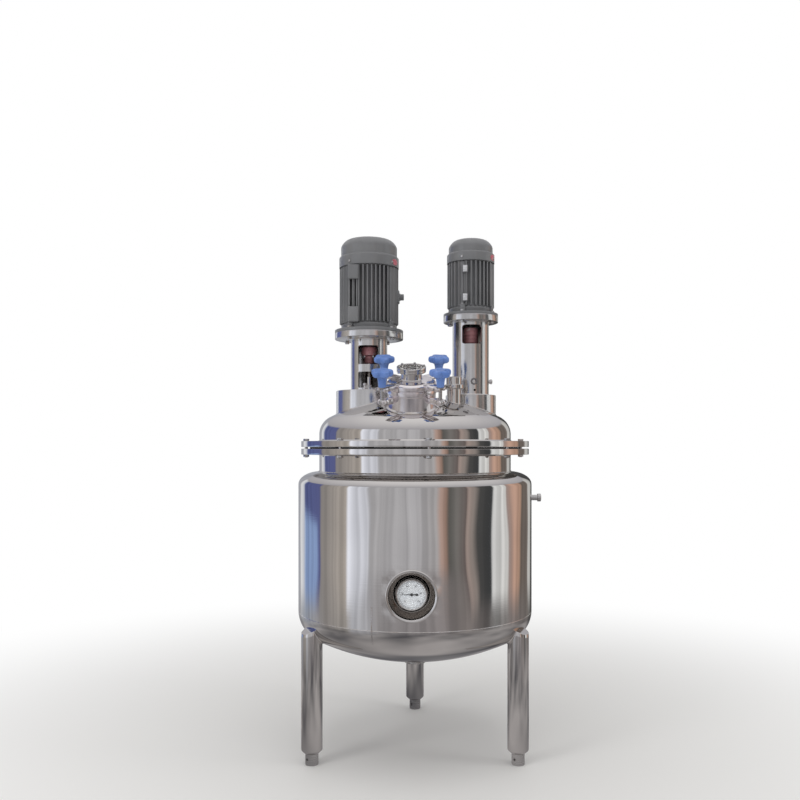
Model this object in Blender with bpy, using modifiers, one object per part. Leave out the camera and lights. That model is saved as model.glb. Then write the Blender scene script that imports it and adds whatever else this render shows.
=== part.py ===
"""Jacketed stirred tank reactor with two top drives, standing on three legs.

Metres, +Z up, the floor is z = 0 and the front is -Y. The sizes below are set out from the vessel's
axis, and the finished part stands with the middle of its outer box over the origin.
"""

from math import asin, cos, pi, radians, sin, sqrt

import bmesh
import bpy
from mathutils import Matrix, Vector

# Place of the vessel's axis, so that the middle of the whole part is over the origin.
AXIS_X = -0.0190
AXIS_Y = -0.0070

# Fit between pieces that touch.
GAP = 0.0003

# Facets around the turned pieces.
VESSEL_STEPS = 24
DRIVE_STEPS = 16
SMALL_STEPS = 12

# Inner vessel: a straight shell with a dished bottom and a bolted flange.
FLANGE_BOTTOM_Z = 1.062
VESSEL_R = 0.350
VESSEL_WALL = 0.005
VESSEL_SHELL_H = 0.522
VESSEL_TANGENT_Z = FLANGE_BOTTOM_Z - VESSEL_SHELL_H
VESSEL_KNUCKLE_R = 0.060
VESSEL_CROWN_R = 0.600

# Heating jacket around it. It leaves a bare neck under the flange.
JACKET_SPACE = 0.075
JACKET_R = VESSEL_R + JACKET_SPACE
JACKET_WALL = 0.004
JACKET_DROP = 0.040
JACKET_TANGENT_Z = VESSEL_TANGENT_Z - JACKET_DROP
JACKET_KNUCKLE_R = 0.100
JACKET_CROWN_R = 0.830
JACKET_SHOULDER_RISE = 0.045
NECK_H = 0.062
JACKET_SHOULDER_Z = FLANGE_BOTTOM_Z - NECK_H - JACKET_SHOULDER_RISE

# Main flange pair, its bolts and the gasket inside them.
FLANGE_W = 0.065
FLANGE_R = VESSEL_R + FLANGE_W
FLANGE_T = 0.021
BOLT_INSET = 0.018
BOLT_CIRCLE_R = FLANGE_R - BOLT_INSET
BOLT_COUNT = 8
BOLT_START = radians(6.5)
BOLT_R = 0.006
BOLT_HEAD_R = 0.011
BOLT_HEAD_T = 0.0085
NUT_T = 0.0105
GASKET_T = 0.006
GASKET_CLEAR = 0.007
GASKET_R = BOLT_CIRCLE_R - BOLT_R - GASKET_CLEAR

# Lid: a flanged skirt under a dished crown.
LID_BOTTOM_Z = FLANGE_BOTTOM_Z + FLANGE_T + GASKET_T
LID_SKIRT_H = 0.046
LID_SKIRT_TOP_Z = LID_BOTTOM_Z + LID_SKIRT_H
LID_WALL = 0.005
LID_KNUCKLE_R = 0.070
LID_CROWN_R = 0.700

# Legs and screwed feet.
LEG_INSET = 0.016
LEG_CIRCLE_R = JACKET_R - LEG_INSET
LEG_R = 0.0365
LEG_WALL = 0.0036
LEG_BOTTOM_Z = 0.040
LEG_TOP_DROP = 0.034
LEG_TOP_Z = JACKET_TANGENT_Z - LEG_TOP_DROP
LEG_CAP_SLOPE = 0.45
FOOT_R = 0.0225
FOOT_STEM_R = 0.010
FOOT_HOLE_R = 0.004

# Dial gauge in its pocket in the front of the jacket.
GAUGE_X = -0.011
GAUGE_RISE = 0.115
GAUGE_Z = JACKET_TANGENT_Z + GAUGE_RISE
DIAL_R = 0.050
POCKET_R = 0.080
POCKET_RIM_W = 0.005
POCKET_RIM_R = POCKET_R + POCKET_RIM_W
POCKET_FLOOR_CLEAR = 0.006
POCKET_FLOOR_R = DIAL_R + POCKET_FLOOR_CLEAR
POCKET_CLEAR = 0.017
POCKET_DEPTH = JACKET_SPACE - POCKET_CLEAR
STEM_R = 0.005
STEM_LENGTH = 0.110

# Jacket nozzles and the bottom outlet.
NOZZLE_DROP = 0.052
NOZZLE_Z = JACKET_SHOULDER_Z - NOZZLE_DROP
NOZZLE_LOW_RISE = 0.060
NOZZLE_LOW_Z = JACKET_TANGENT_Z + NOZZLE_LOW_RISE
NOZZLE_R = 0.010
NOZZLE_COLLAR_R = 0.0145
NOZZLE_REACH = 0.038
OUTLET_R = 0.028
OUTLET_REACH = 0.026
OUTLET_FLANGE_W = 0.010

# Drive columns.
LEFT_X = -0.169
RIGHT_X = 0.205
SEAT_CLEAR = 0.010
SEAT_SINK = 0.012
PLATE_T = 0.022
LANTERN_R = 0.0665
LANTERN_WALL = 0.006
SHAFT_R = 0.0175
SHAFT_END_R = 0.011
COWL_WALL = 0.0025
COWL_LIP = 0.001
COWL_STEP = 0.003

# Hand hole on the lid, tilted square to the crown.
MANWAY_X = -0.012
MANWAY_Y = -0.235
MANWAY_R = 0.082
MANWAY_WALL = 0.005
MANWAY_RIM_W = 0.066
COVER_T = 0.024
COVER_LOW_W = MANWAY_RIM_W + GAP
COVER_TOP_W = COVER_LOW_W + COVER_T
SWING_OUT = 0.052
SWING_R = MANWAY_R + SWING_OUT
SWING_DROP = 0.027
SWING_PIVOT_W = MANWAY_RIM_W - SWING_DROP
SWING_BOLT_R = 0.006
KNOB_R = 0.037
KNOB_GAP = 0.0004
KNOB_H = 0.0593
KNOB_LOW_W = COVER_TOP_W + KNOB_GAP
KNOB_TOP_W = KNOB_LOW_W + KNOB_H
SIGHT_R = 0.030
SIGHT_WALL = 0.005
SIGHT_H = 0.042
LENS_R = 0.039

# Clamped port beside the right drive.
PORT_X = 0.138
PORT_Y = -0.110
PORT_R = 0.025
PORT_H = 0.054

# Mixing tools: a toothed disc on the left shaft and a four-bladed turbine on the right one.
DISC_R = 0.112
DISC_ROOT_R = 0.099
DISC_T = 0.004
DISC_TEETH = 14
DISC_HUB_R = 0.032
TURBINE_R = 0.100
TURBINE_HUB_R = 0.030
TURBINE_HUB_H = 0.050
BLADE_W = 0.052
BLADE_T = 0.006

COLLECTION = "stirred_tank_reactor"
CUTTERS = "cutters"


def clear_scene():
    for obj in list(bpy.data.objects):
        bpy.data.objects.remove(obj, do_unlink=True)
    for name in (COLLECTION, CUTTERS):
        old = bpy.data.collections.get(name)
        if old:
            bpy.data.collections.remove(old)
        bpy.context.scene.collection.children.link(bpy.data.collections.new(name))


def material(name, colour, roughness, metallic, transmission=0.0):
    mat = bpy.data.materials.new(name)
    mat.use_nodes = True
    shader = mat.node_tree.nodes["Principled BSDF"]
    shader.inputs["Base Color"].default_value = (*colour, 1.0)
    shader.inputs["Roughness"].default_value = roughness
    shader.inputs["Metallic"].default_value = metallic
    shader.inputs["Transmission Weight"].default_value = transmission
    mat.diffuse_color = (*colour, 1.0)
    return mat


def make_materials():
    steel = (0.60, 0.58, 0.56)
    return {
        "polished": material("polished_steel", steel, 0.10, 1.0),
        "satin": material("satin_steel", (0.50, 0.49, 0.48), 0.35, 1.0),
        "motor": material("motor_paint", (0.15, 0.15, 0.155), 0.50, 0.0),
        "knob": material("blue_plastic", (0.09, 0.21, 0.61), 0.35, 0.0),
        "coupling": material("maroon_paint", (0.10, 0.03, 0.035), 0.45, 0.0),
        "rubber": material("black_rubber", (0.02, 0.02, 0.02), 0.70, 0.0),
        "dial": material("white_dial", (0.72, 0.78, 0.84), 0.40, 0.0),
        "ink": material("needle_black", (0.02, 0.02, 0.02), 0.40, 0.0),
        "glass": material("clear_glass", (0.95, 0.97, 0.97), 0.02, 0.0, 1.0),
    }


def link(name, mesh, mat=None, cutter=False):
    """Put a mesh in the scene as a part, or as a hidden cutter."""
    obj = bpy.data.objects.new(name, mesh)
    bpy.data.collections[CUTTERS if cutter else COLLECTION].objects.link(obj)
    if cutter:
        obj.hide_render = True
        obj.display_type = "WIRE"
    elif mat:
        mesh.materials.clear()
        mesh.materials.append(mat)
    return obj


def empty(name, location, rotation=(0.0, 0.0, 0.0)):
    obj = bpy.data.objects.new(name, None)
    obj.location = location
    obj.rotation_euler = rotation
    bpy.data.collections[COLLECTION].objects.link(obj)
    return obj


def turned(name, profile, steps, mat=None, ring=True, cutter=False):
    """Turn a profile of (radius, height) around Z. A ring profile closes on itself."""
    mesh = bpy.data.meshes.new(name)
    count = len(profile)
    edges = [(i, i + 1) for i in range(count - 1)]
    if ring:
        edges.append((count - 1, 0))
    mesh.from_pydata([(r, 0.0, z) for r, z in profile], edges, [])
    obj = link(name, mesh, mat, cutter)
    screw = obj.modifiers.new("turn", "SCREW")
    screw.axis = "Z"
    screw.angle = 2 * pi
    screw.steps = steps
    screw.render_steps = steps
    screw.use_merge_vertices = True
    screw.merge_threshold = 0.00001
    screw.use_smooth_shade = True
    return obj


def cylinder(name, radius, z_low, z_high, steps, mat=None, cutter=False, top_radius=None):
    """An upright cylinder or cone between two heights."""
    mesh = bpy.data.meshes.new(name)
    bm = bmesh.new()
    bmesh.ops.create_cone(
        bm,
        cap_ends=True,
        segments=steps,
        radius1=radius,
        radius2=radius if top_radius is None else top_radius,
        depth=z_high - z_low,
        matrix=Matrix.Translation((0.0, 0.0, (z_low + z_high) / 2)),
    )
    bm.to_mesh(mesh)
    bm.free()
    return link(name, mesh, mat, cutter)


def box(name, low, high, mat=None, cutter=False, turn=0.0, tilt=0.0):
    """A box between two corners, tilted about its long axis X and then turned about Z."""
    mesh = bpy.data.meshes.new(name)
    size = Vector(high) - Vector(low)
    middle = (Vector(high) + Vector(low)) / 2
    bm = bmesh.new()
    bmesh.ops.create_cube(bm, size=1.0)
    bmesh.ops.scale(bm, vec=size, verts=bm.verts)
    bmesh.ops.rotate(bm, matrix=Matrix.Rotation(tilt, 3, "X"), verts=bm.verts)
    bmesh.ops.translate(bm, vec=middle, verts=bm.verts)
    bmesh.ops.rotate(bm, matrix=Matrix.Rotation(turn, 3, "Z"), verts=bm.verts)
    bm.to_mesh(mesh)
    bm.free()
    return link(name, mesh, mat, cutter)


def settled_mesh(obj, name):
    """The mesh of an object with its modifiers done, for pieces that repeat."""
    bpy.context.view_layer.update()
    seen = obj.evaluated_get(bpy.context.evaluated_depsgraph_get())
    mesh = bpy.data.meshes.new_from_object(seen)
    mesh.name = name
    bpy.data.objects.remove(obj, do_unlink=True)
    return mesh


def taper_end(mesh, z, width):
    """Chamfer the round end of a cylinder at one height."""
    bm = bmesh.new()
    bm.from_mesh(mesh)
    rim = [e for e in bm.edges if all(abs(v.co.z - z) < 0.0001 for v in e.verts)]
    bmesh.ops.bevel(bm, geom=rim, offset=width, segments=1, affect="EDGES", clamp_overlap=False)
    bm.to_mesh(mesh)
    bm.free()


def extruded(name, outline, z_low, z_high, mat=None, cutter=False):
    """A flat outline drawn as a 2D curve, filled, and raised between two heights."""
    curve = bpy.data.curves.new(name, "CURVE")
    curve.dimensions = "2D"
    curve.fill_mode = "NONE"
    curve.render_resolution_u = 0
    spline = curve.splines.new("POLY")
    spline.points.add(len(outline) - 1)
    for point, (x, y) in zip(spline.points, outline):
        point.co = (x, y, 0.0, 1.0)
    spline.use_cyclic_u = True
    flat = bpy.data.objects.new(name + "_outline", curve)
    bpy.data.collections[CUTTERS].objects.link(flat)
    mesh = settled_mesh(flat, name)
    bm = bmesh.new()
    bm.from_mesh(mesh)
    bmesh.ops.contextual_create(bm, geom=bm.edges[:])
    raised = bmesh.ops.extrude_face_region(bm, geom=bm.faces[:])
    top = [item for item in raised["geom"] if isinstance(item, bmesh.types.BMVert)]
    bmesh.ops.translate(bm, vec=(0.0, 0.0, z_high - z_low), verts=top)
    bmesh.ops.translate(bm, vec=(0.0, 0.0, z_low), verts=bm.verts)
    bmesh.ops.recalc_face_normals(bm, faces=bm.faces)
    bm.to_mesh(mesh)
    bm.free()
    return link(name, mesh, mat, cutter)


def boolean(obj, other, operation):
    mod = obj.modifiers.new(operation.lower(), "BOOLEAN")
    mod.operation = operation
    mod.solver = "EXACT"
    mod.object = other
    return obj


def cut(obj, *others):
    for other in others:
        boolean(obj, other, "DIFFERENCE")
    return obj


def join(obj, *others):
    for other in others:
        boolean(obj, other, "UNION")
    return obj


def place(obj, location=(0.0, 0.0, 0.0), rotation=(0.0, 0.0, 0.0), parent=None):
    obj.location = location
    obj.rotation_euler = rotation
    obj.parent = parent
    return obj


def front(angle, radius):
    """A point on a circle about the vessel axis, its angle counted from the front."""
    return radius * sin(angle), -radius * cos(angle)


def dished_end(radius, knuckle, crown, tangent_z, sign, hole_r=0.0, knuckle_steps=3, crown_steps=3):
    """Half section of a dished end, from its tangent line to its middle or to a hole in it."""
    reach = radius - knuckle
    rise = sqrt((crown - knuckle) ** 2 - reach**2)
    meet = asin(reach / (crown - knuckle))
    points = []
    for i in range(knuckle_steps + 1):
        angle = (pi / 2 - meet) * i / knuckle_steps
        points.append((reach + knuckle * cos(angle), tangent_z + sign * knuckle * sin(angle)))
    hole_angle = asin(hole_r / crown)
    for i in range(1, crown_steps + 1):
        angle = meet + (hole_angle - meet) * i / crown_steps
        points.append((crown * sin(angle), tangent_z + sign * (crown * cos(angle) - rise)))
    return points


def crown_z(x, y):
    """Height of the lid's outer crown over a point."""
    reach = VESSEL_R - LID_KNUCKLE_R
    rise = sqrt((LID_CROWN_R - LID_KNUCKLE_R) ** 2 - reach**2)
    return LID_SKIRT_TOP_Z - rise + sqrt(LID_CROWN_R**2 - x**2 - y**2)


def bolt_places():
    step = 2 * pi / BOLT_COUNT
    return [front(BOLT_START + step * i, BOLT_CIRCLE_R) for i in range(BOLT_COUNT)]


def bolt_hole_cutters(name, z_low, z_high):
    cutters = []
    for i, (x, y) in enumerate(bolt_places()):
        hole = cylinder(f"{name}_{i}", BOLT_R + 0.0011, z_low, z_high, 6, cutter=True)
        cutters.append(place(hole, (x, y, 0.0)))
    return cutters


def jacket_outer():
    """Outer section of the jacket, from the neck down to the bottom outlet."""
    shoulder = JACKET_R - VESSEL_R
    top = []
    for i in range(4):
        angle = pi / 2 * (1 - i / 3)
        r = VESSEL_R + GAP + (shoulder - GAP) * cos(angle)
        top.append((r, JACKET_SHOULDER_Z + JACKET_SHOULDER_RISE * sin(angle)))
    return top + dished_end(
        JACKET_R, JACKET_KNUCKLE_R, JACKET_CROWN_R, JACKET_TANGENT_Z, -1, OUTLET_R + GAP, 3, 3
    )


def inset(points, wall):
    """The same section moved inwards by the wall, square to each of its edges."""
    moved = []
    last = len(points) - 1
    for i, (r, z) in enumerate(points):
        r0, z0 = points[max(i - 1, 0)]
        r1, z1 = points[min(i + 1, last)]
        length = sqrt((r1 - r0) ** 2 + (z1 - z0) ** 2)
        moved.append((r + (z1 - z0) / length * wall, z - (r1 - r0) / length * wall))
    return moved


def build_vessel(mats):
    steel = mats["polished"]
    top = FLANGE_BOTTOM_Z + FLANGE_T
    dish = dished_end(
        VESSEL_R, VESSEL_KNUCKLE_R, VESSEL_CROWN_R, VESSEL_TANGENT_Z, -1, OUTLET_R + GAP, 2, 2
    )
    inner = inset(dish, VESSEL_WALL)
    inner = inner[:1] + inner[2:4] + [(dish[-1][0], inner[-1][1])]
    profile = [(FLANGE_R, top), (FLANGE_R, FLANGE_BOTTOM_Z), (VESSEL_R, FLANGE_BOTTOM_Z)]
    profile += dish + inner[::-1] + [(VESSEL_R - VESSEL_WALL, top)]
    vessel = turned("inner_vessel", profile, VESSEL_STEPS, steel)
    well = cylinder("vessel_stem_hole", STEM_R + 0.0008, -0.02, 0.02, 12, cutter=True)
    place(well, (GAUGE_X, -VESSEL_R, GAUGE_Z), (pi / 2, 0.0, 0.0))
    cut(vessel, well, *bolt_hole_cutters("vessel_bolt_hole", FLANGE_BOTTOM_Z - 0.01, top + 0.01))

    outer = jacket_outer()
    inside = inset(outer, JACKET_WALL)
    inside[0] = (outer[0][0], outer[0][1] - JACKET_WALL)
    inside[-1] = (outer[-1][0], inside[-1][1])
    inside = inside[:1] + inside[2:4] + inside[4:6] + inside[7:8] + inside[-1:]
    jacket = turned("jacket", outer + inside[::-1], VESSEL_STEPS, steel)
    pocket_hole = cylinder("jacket_pocket_hole", POCKET_R + GAP, -0.03, 0.04, DRIVE_STEPS, cutter=True)
    place(pocket_hole, (GAUGE_X, -JACKET_R, GAUGE_Z), (pi / 2, 0.0, 0.0))
    high = cylinder("jacket_high_hole", NOZZLE_R + 0.0008, -0.02, 0.02, 10, cutter=True)
    place(high, (JACKET_R, 0.0, NOZZLE_Z), (0.0, pi / 2, 0.0))
    low = cylinder("jacket_low_hole", NOZZLE_R + 0.0008, -0.02, 0.02, 10, cutter=True)
    x, y = front(radians(-135), JACKET_R)
    place(low, (x, y, NOZZLE_LOW_Z), (0.0, pi / 2, radians(135)))
    cut(jacket, pocket_hole, high, low)

    low_z = top + GAP
    high_z = top + GASKET_T - GAP
    r_in = VESSEL_R - VESSEL_WALL
    ring = [(GASKET_R, high_z), (GASKET_R, low_z), (r_in, low_z), (r_in, high_z)]
    turned("gasket", ring, VESSEL_STEPS, mats["rubber"])


def build_lid(mats, seats, manway, port):
    """The lid with its flange, cut for the drive seats, the hand hole and the port."""
    low = LID_BOTTOM_Z
    high = low + FLANGE_T
    dome = dished_end(VESSEL_R, LID_KNUCKLE_R, LID_CROWN_R, LID_SKIRT_TOP_Z, 1, 0.0, 3, 3)[::-1]
    inner = inset(dome, LID_WALL)
    inner = [(0.0, dome[0][1] - LID_WALL)] + inner[2:]
    r_in = VESSEL_R - LID_WALL
    profile = dome + [(VESSEL_R, high), (FLANGE_R, high), (FLANGE_R, low), (r_in, low)]
    profile += inner[::-1]
    lid = turned("lid", profile, VESSEL_STEPS, mats["polished"], ring=False)
    for name, x, radius in seats:
        hole = cylinder(f"lid_{name}_hole", radius + GAP, 1.0, 1.4, DRIVE_STEPS, cutter=True)
        cut(lid, place(hole, (x, 0.0, 0.0)))
    hole = cylinder("lid_manway_hole", MANWAY_R + GAP, -0.08, 0.08, DRIVE_STEPS, cutter=True)
    cut(lid, place(hole, parent=manway))
    hole = cylinder("lid_port_hole", PORT_R + GAP, 1.0, 1.4, SMALL_STEPS, cutter=True)
    cut(lid, place(hole, (port[0], port[1], 0.0)))
    cut(lid, *bolt_hole_cutters("lid_bolt_hole", low - 0.01, high + 0.01))


def build_flange_bolts(mats):
    """Hexagon bolts through both main flanges, each with its nut below."""
    seat = LID_BOTTOM_Z + FLANGE_T + GAP
    under = FLANGE_BOTTOM_Z - GAP
    section = [
        (0.0, seat + BOLT_HEAD_T),
        (BOLT_HEAD_R, seat + BOLT_HEAD_T),
        (BOLT_HEAD_R, seat),
        (BOLT_R, seat),
        (BOLT_R, under),
        (BOLT_HEAD_R, under),
        (BOLT_HEAD_R, under - NUT_T),
        (0.0, under - NUT_T),
    ]
    mesh = settled_mesh(turned("bolt", section, 6, mats["satin"], ring=False), "flange_bolt")
    for i, (x, y) in enumerate(bolt_places()):
        bolt = link(f"flange_bolt_{i + 1}", mesh, mats["satin"])
        place(bolt, (x, y, 0.0), (0.0, 0.0, BOLT_START + i * 2 * pi / BOLT_COUNT))


def build_legs(mats):
    """Pipe legs fitted under the jacket's knuckle, and feet screwed into them."""
    envelope_section = [(r + GAP * 2, z) for r, z in jacket_outer()]
    for name, angle in (("left", -60), ("right", 60), ("rear", 180)):
        x, y = front(radians(angle), LEG_CIRCLE_R)
        turn = radians(angle) - pi / 2
        leg = cylinder(f"leg_{name}", LEG_R, LEG_BOTTOM_Z, LEG_TOP_Z, 16, mats["polished"])
        taper_end(leg.data, LEG_BOTTOM_Z, LEG_R - FOOT_R - 0.002)
        hollow = cylinder(
            f"leg_{name}_hollow", LEG_R - LEG_WALL, LEG_BOTTOM_Z + 0.024, LEG_TOP_Z, 12, cutter=True
        )
        for piece, drop in ((leg, 0.0), (hollow, LEG_WALL * 1.2)):
            for vertex in piece.data.vertices:
                if vertex.co.z > LEG_TOP_Z - 0.001:
                    vertex.co.z -= LEG_CAP_SLOPE * vertex.co.x + drop
        socket = cylinder(
            f"leg_{name}_socket", FOOT_STEM_R + 0.0010, 0.0, LEG_BOTTOM_Z + 0.030, 10, cutter=True
        )
        envelope = turned(f"leg_{name}_envelope", envelope_section, VESSEL_STEPS, cutter=True, ring=False)
        cut(leg, hollow, socket, envelope)
        for piece in (leg, hollow, socket):
            place(piece, (x, y, 0.0), (0.0, 0.0, turn))

        foot = cylinder(f"foot_{name}", FOOT_R, 0.0, LEG_BOTTOM_Z - GAP, SMALL_STEPS, mats["satin"])
        stem_top = LEG_BOTTOM_Z + 0.022
        stem = cylinder(f"foot_{name}_stem", FOOT_STEM_R, 0.030, stem_top, 8, cutter=True)
        bar = cylinder(f"foot_{name}_bar_hole", FOOT_HOLE_R, -0.04, 0.04, 6, cutter=True)
        join(foot, stem)
        cut(foot, bar)
        place(foot, (x, y, 0.0))
        place(stem, (x, y, 0.0))
        place(bar, (x, y, 0.021), (pi / 2, 0.0, radians(-40)))


def build_gauge(mats):
    """A dial gauge with a back stem, set in a round pocket through the jacket."""
    face = empty("gauge_axis", (GAUGE_X, -JACKET_R, GAUGE_Z), (pi / 2, 0.0, 0.0))
    rim = 0.0045
    floor = -POCKET_DEPTH
    wall = 0.003
    profile = [
        (POCKET_RIM_R - 0.002, rim + 0.002),
        (POCKET_RIM_R, rim - 0.003),
        (POCKET_R, rim - 0.004),
        (POCKET_R, -0.016),
        (POCKET_FLOOR_R, floor),
        (STEM_R + GAP, floor),
        (STEM_R + GAP, floor + wall),
        (POCKET_FLOOR_R - wall, floor + wall),
        (POCKET_R - wall, -0.014),
        (POCKET_R - wall, rim),
    ]
    place(turned("gauge_pocket", profile, DRIVE_STEPS, mats["polished"]), parent=face)

    back = floor + wall + 0.006
    dial_z = back + 0.018
    stem_end = back - STEM_LENGTH
    case = [
        (0.0, dial_z - 0.002),
        (DIAL_R - 0.004, dial_z - 0.002),
        (DIAL_R - 0.004, dial_z + 0.010),
        (DIAL_R, dial_z + 0.010),
        (DIAL_R, back),
        (STEM_R, back),
        (STEM_R, stem_end),
        (0.0, stem_end),
    ]
    place(turned("gauge_case", case, DRIVE_STEPS, mats["satin"], ring=False), parent=face)
    dial = cylinder(
        "dial_face", DIAL_R - 0.004 - GAP, dial_z - 0.002 + GAP, dial_z, DRIVE_STEPS, mats["dial"]
    )
    place(dial, parent=face)
    glass = cylinder(
        "dial_glass", DIAL_R - 0.004 - GAP, dial_z + 0.007, dial_z + 0.009, DRIVE_STEPS, mats["glass"]
    )
    place(glass, parent=face)

    low = dial_z + 0.0015
    tip = [(-0.036, 0.0), (-0.010, -0.0018), (0.0, -0.0024), (0.009, -0.0018), (0.018, -0.003)]
    tail = [(0.022, 0.0), (0.018, 0.003), (0.009, 0.0018), (0.0, 0.0024), (-0.010, 0.0018)]
    needle = extruded("dial_needle", tip + tail, low, low + 0.001, mats["ink"])
    hub = cylinder("needle_hub", 0.005, low - 0.0012, low + 0.0022, 8, cutter=True)
    join(needle, hub)
    place(hub, parent=face)
    place(needle, parent=face)


def build_nozzles(mats):
    """Two threaded jacket connections and the flanged bottom outlet."""
    reach = NOZZLE_REACH
    section = [
        (NOZZLE_COLLAR_R, reach),
        (NOZZLE_COLLAR_R, reach - 0.013),
        (NOZZLE_R, reach - 0.013),
        (NOZZLE_R, 0.001),
        (NOZZLE_R, -0.012),
        (NOZZLE_R - 0.003, -0.012),
        (NOZZLE_R - 0.003, reach),
    ]
    steel = mats["satin"]
    high = turned("jacket_nozzle_high", section, 10, steel)
    place(high, (JACKET_R, 0.0, NOZZLE_Z), (0.0, pi / 2, 0.0))
    x, y = front(radians(-135), JACKET_R)
    low = turned("jacket_nozzle_low", section, 10, steel)
    place(low, (x, y, NOZZLE_LOW_Z), (0.0, pi / 2, radians(135)))

    top = dished_end(
        VESSEL_R, VESSEL_KNUCKLE_R, VESSEL_CROWN_R, VESSEL_TANGENT_Z, -1, OUTLET_R + GAP, 2, 2
    )[-1][1]
    # The outlet's face is set to a whole millimetre below the jacket.
    end = round(jacket_outer()[-1][1] - OUTLET_REACH, 3)
    outlet = [
        (OUTLET_R, top + VESSEL_WALL),
        (OUTLET_R, end + 0.010),
        (OUTLET_R + OUTLET_FLANGE_W, end + 0.007),
        (OUTLET_R + OUTLET_FLANGE_W, end),
        (OUTLET_R - 0.004, end),
        (OUTLET_R - 0.004, top + VESSEL_WALL),
    ]
    turned("bottom_outlet", outlet, SMALL_STEPS, steel)


def finned_outline(core_r, tip_r, fins, pitch, thickness):
    """Cross section of a motor frame: four blocks of parallel fins on a round core."""
    outline = []
    half = thickness / 2
    for quarter in range(4):
        turn = quarter * pi / 2
        for i in range(fins):
            middle = (i - (fins - 1) / 2) * pitch
            block = []
            for side, radius in ((-half, core_r), (-half, tip_r), (half, tip_r), (half, core_r)):
                offset = middle + side
                block.append((sqrt(radius**2 - offset**2), offset))
            for u, v in block:
                outline.append((u * cos(turn) - v * sin(turn), u * sin(turn) + v * cos(turn)))
    return outline


def build_drive(mats, side, x, motor):
    """One drive: seat on the lid, lantern, motor, cowl and all that turns in them."""
    steel = mats["polished"]
    spot = (x, 0.0, 0.0)
    seat_r, plate_r = motor["seat_r"], motor["plate_r"]
    seat_top = LID_SKIRT_TOP_Z + motor["seat_rise"]
    plate_z = seat_top + motor["lantern_h"]
    bore = LANTERN_R - LANTERN_WALL - SEAT_CLEAR
    seat_low = crown_z(abs(x) + seat_r, 0.0) - SEAT_SINK
    section = [
        (seat_r, seat_top),
        (seat_r, seat_low),
        (bore, seat_low),
        (bore, seat_top),
    ]
    seat = place(turned(f"{side}_seat", section, DRIVE_STEPS, steel), spot)

    tube_in = LANTERN_R - LANTERN_WALL
    foot_z = seat_top + GAP
    section = [
        (plate_r, plate_z + PLATE_T),
        (plate_r, plate_z),
        (LANTERN_R, plate_z),
        (LANTERN_R, foot_z),
        (tube_in, foot_z),
        (tube_in, plate_z + PLATE_T),
    ]
    lantern = place(turned(f"{side}_lantern", section, DRIVE_STEPS, steel), spot)
    half_width = motor["window_half"]
    windows = [(seat_top + low, seat_top + high) for low, high in motor["seal_windows"]]
    windows += [(plate_z - low, plate_z - high) for low, high in motor["coupling_windows"]]
    for i, (low, high) in enumerate(windows):
        window = box(
            f"{side}_window_{i}",
            (-half_width, -LANTERN_R - 0.02, low),
            (half_width, -0.010, high),
            cutter=True,
        )
        corners = window.modifiers.new("corners", "BEVEL")
        corners.width = motor["corner"]
        corners.segments = 1
        corners.limit_method = "WEIGHT"
        weights = window.data.attributes.new("bevel_weight_edge", "FLOAT", "EDGE")
        for edge in window.data.edges:
            a, b = (window.data.vertices[v].co for v in edge.vertices)
            weights.data[edge.index].value = 1.0 if abs(a.y - b.y) > 0.01 else 0.0
        cut(lantern, place(window, spot))

    build_motor(mats, side, spot, plate_z + PLATE_T, motor)
    build_turning(mats, side, spot, seat_top, bore, plate_z, motor)
    return seat, lantern, seat_top


def fin_ends(plate_top, motor):
    """Heights of the lower and upper ends of a motor's fins."""
    low = plate_top + motor["fin_rise"]
    return low, low + motor["fin_h"]


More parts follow.
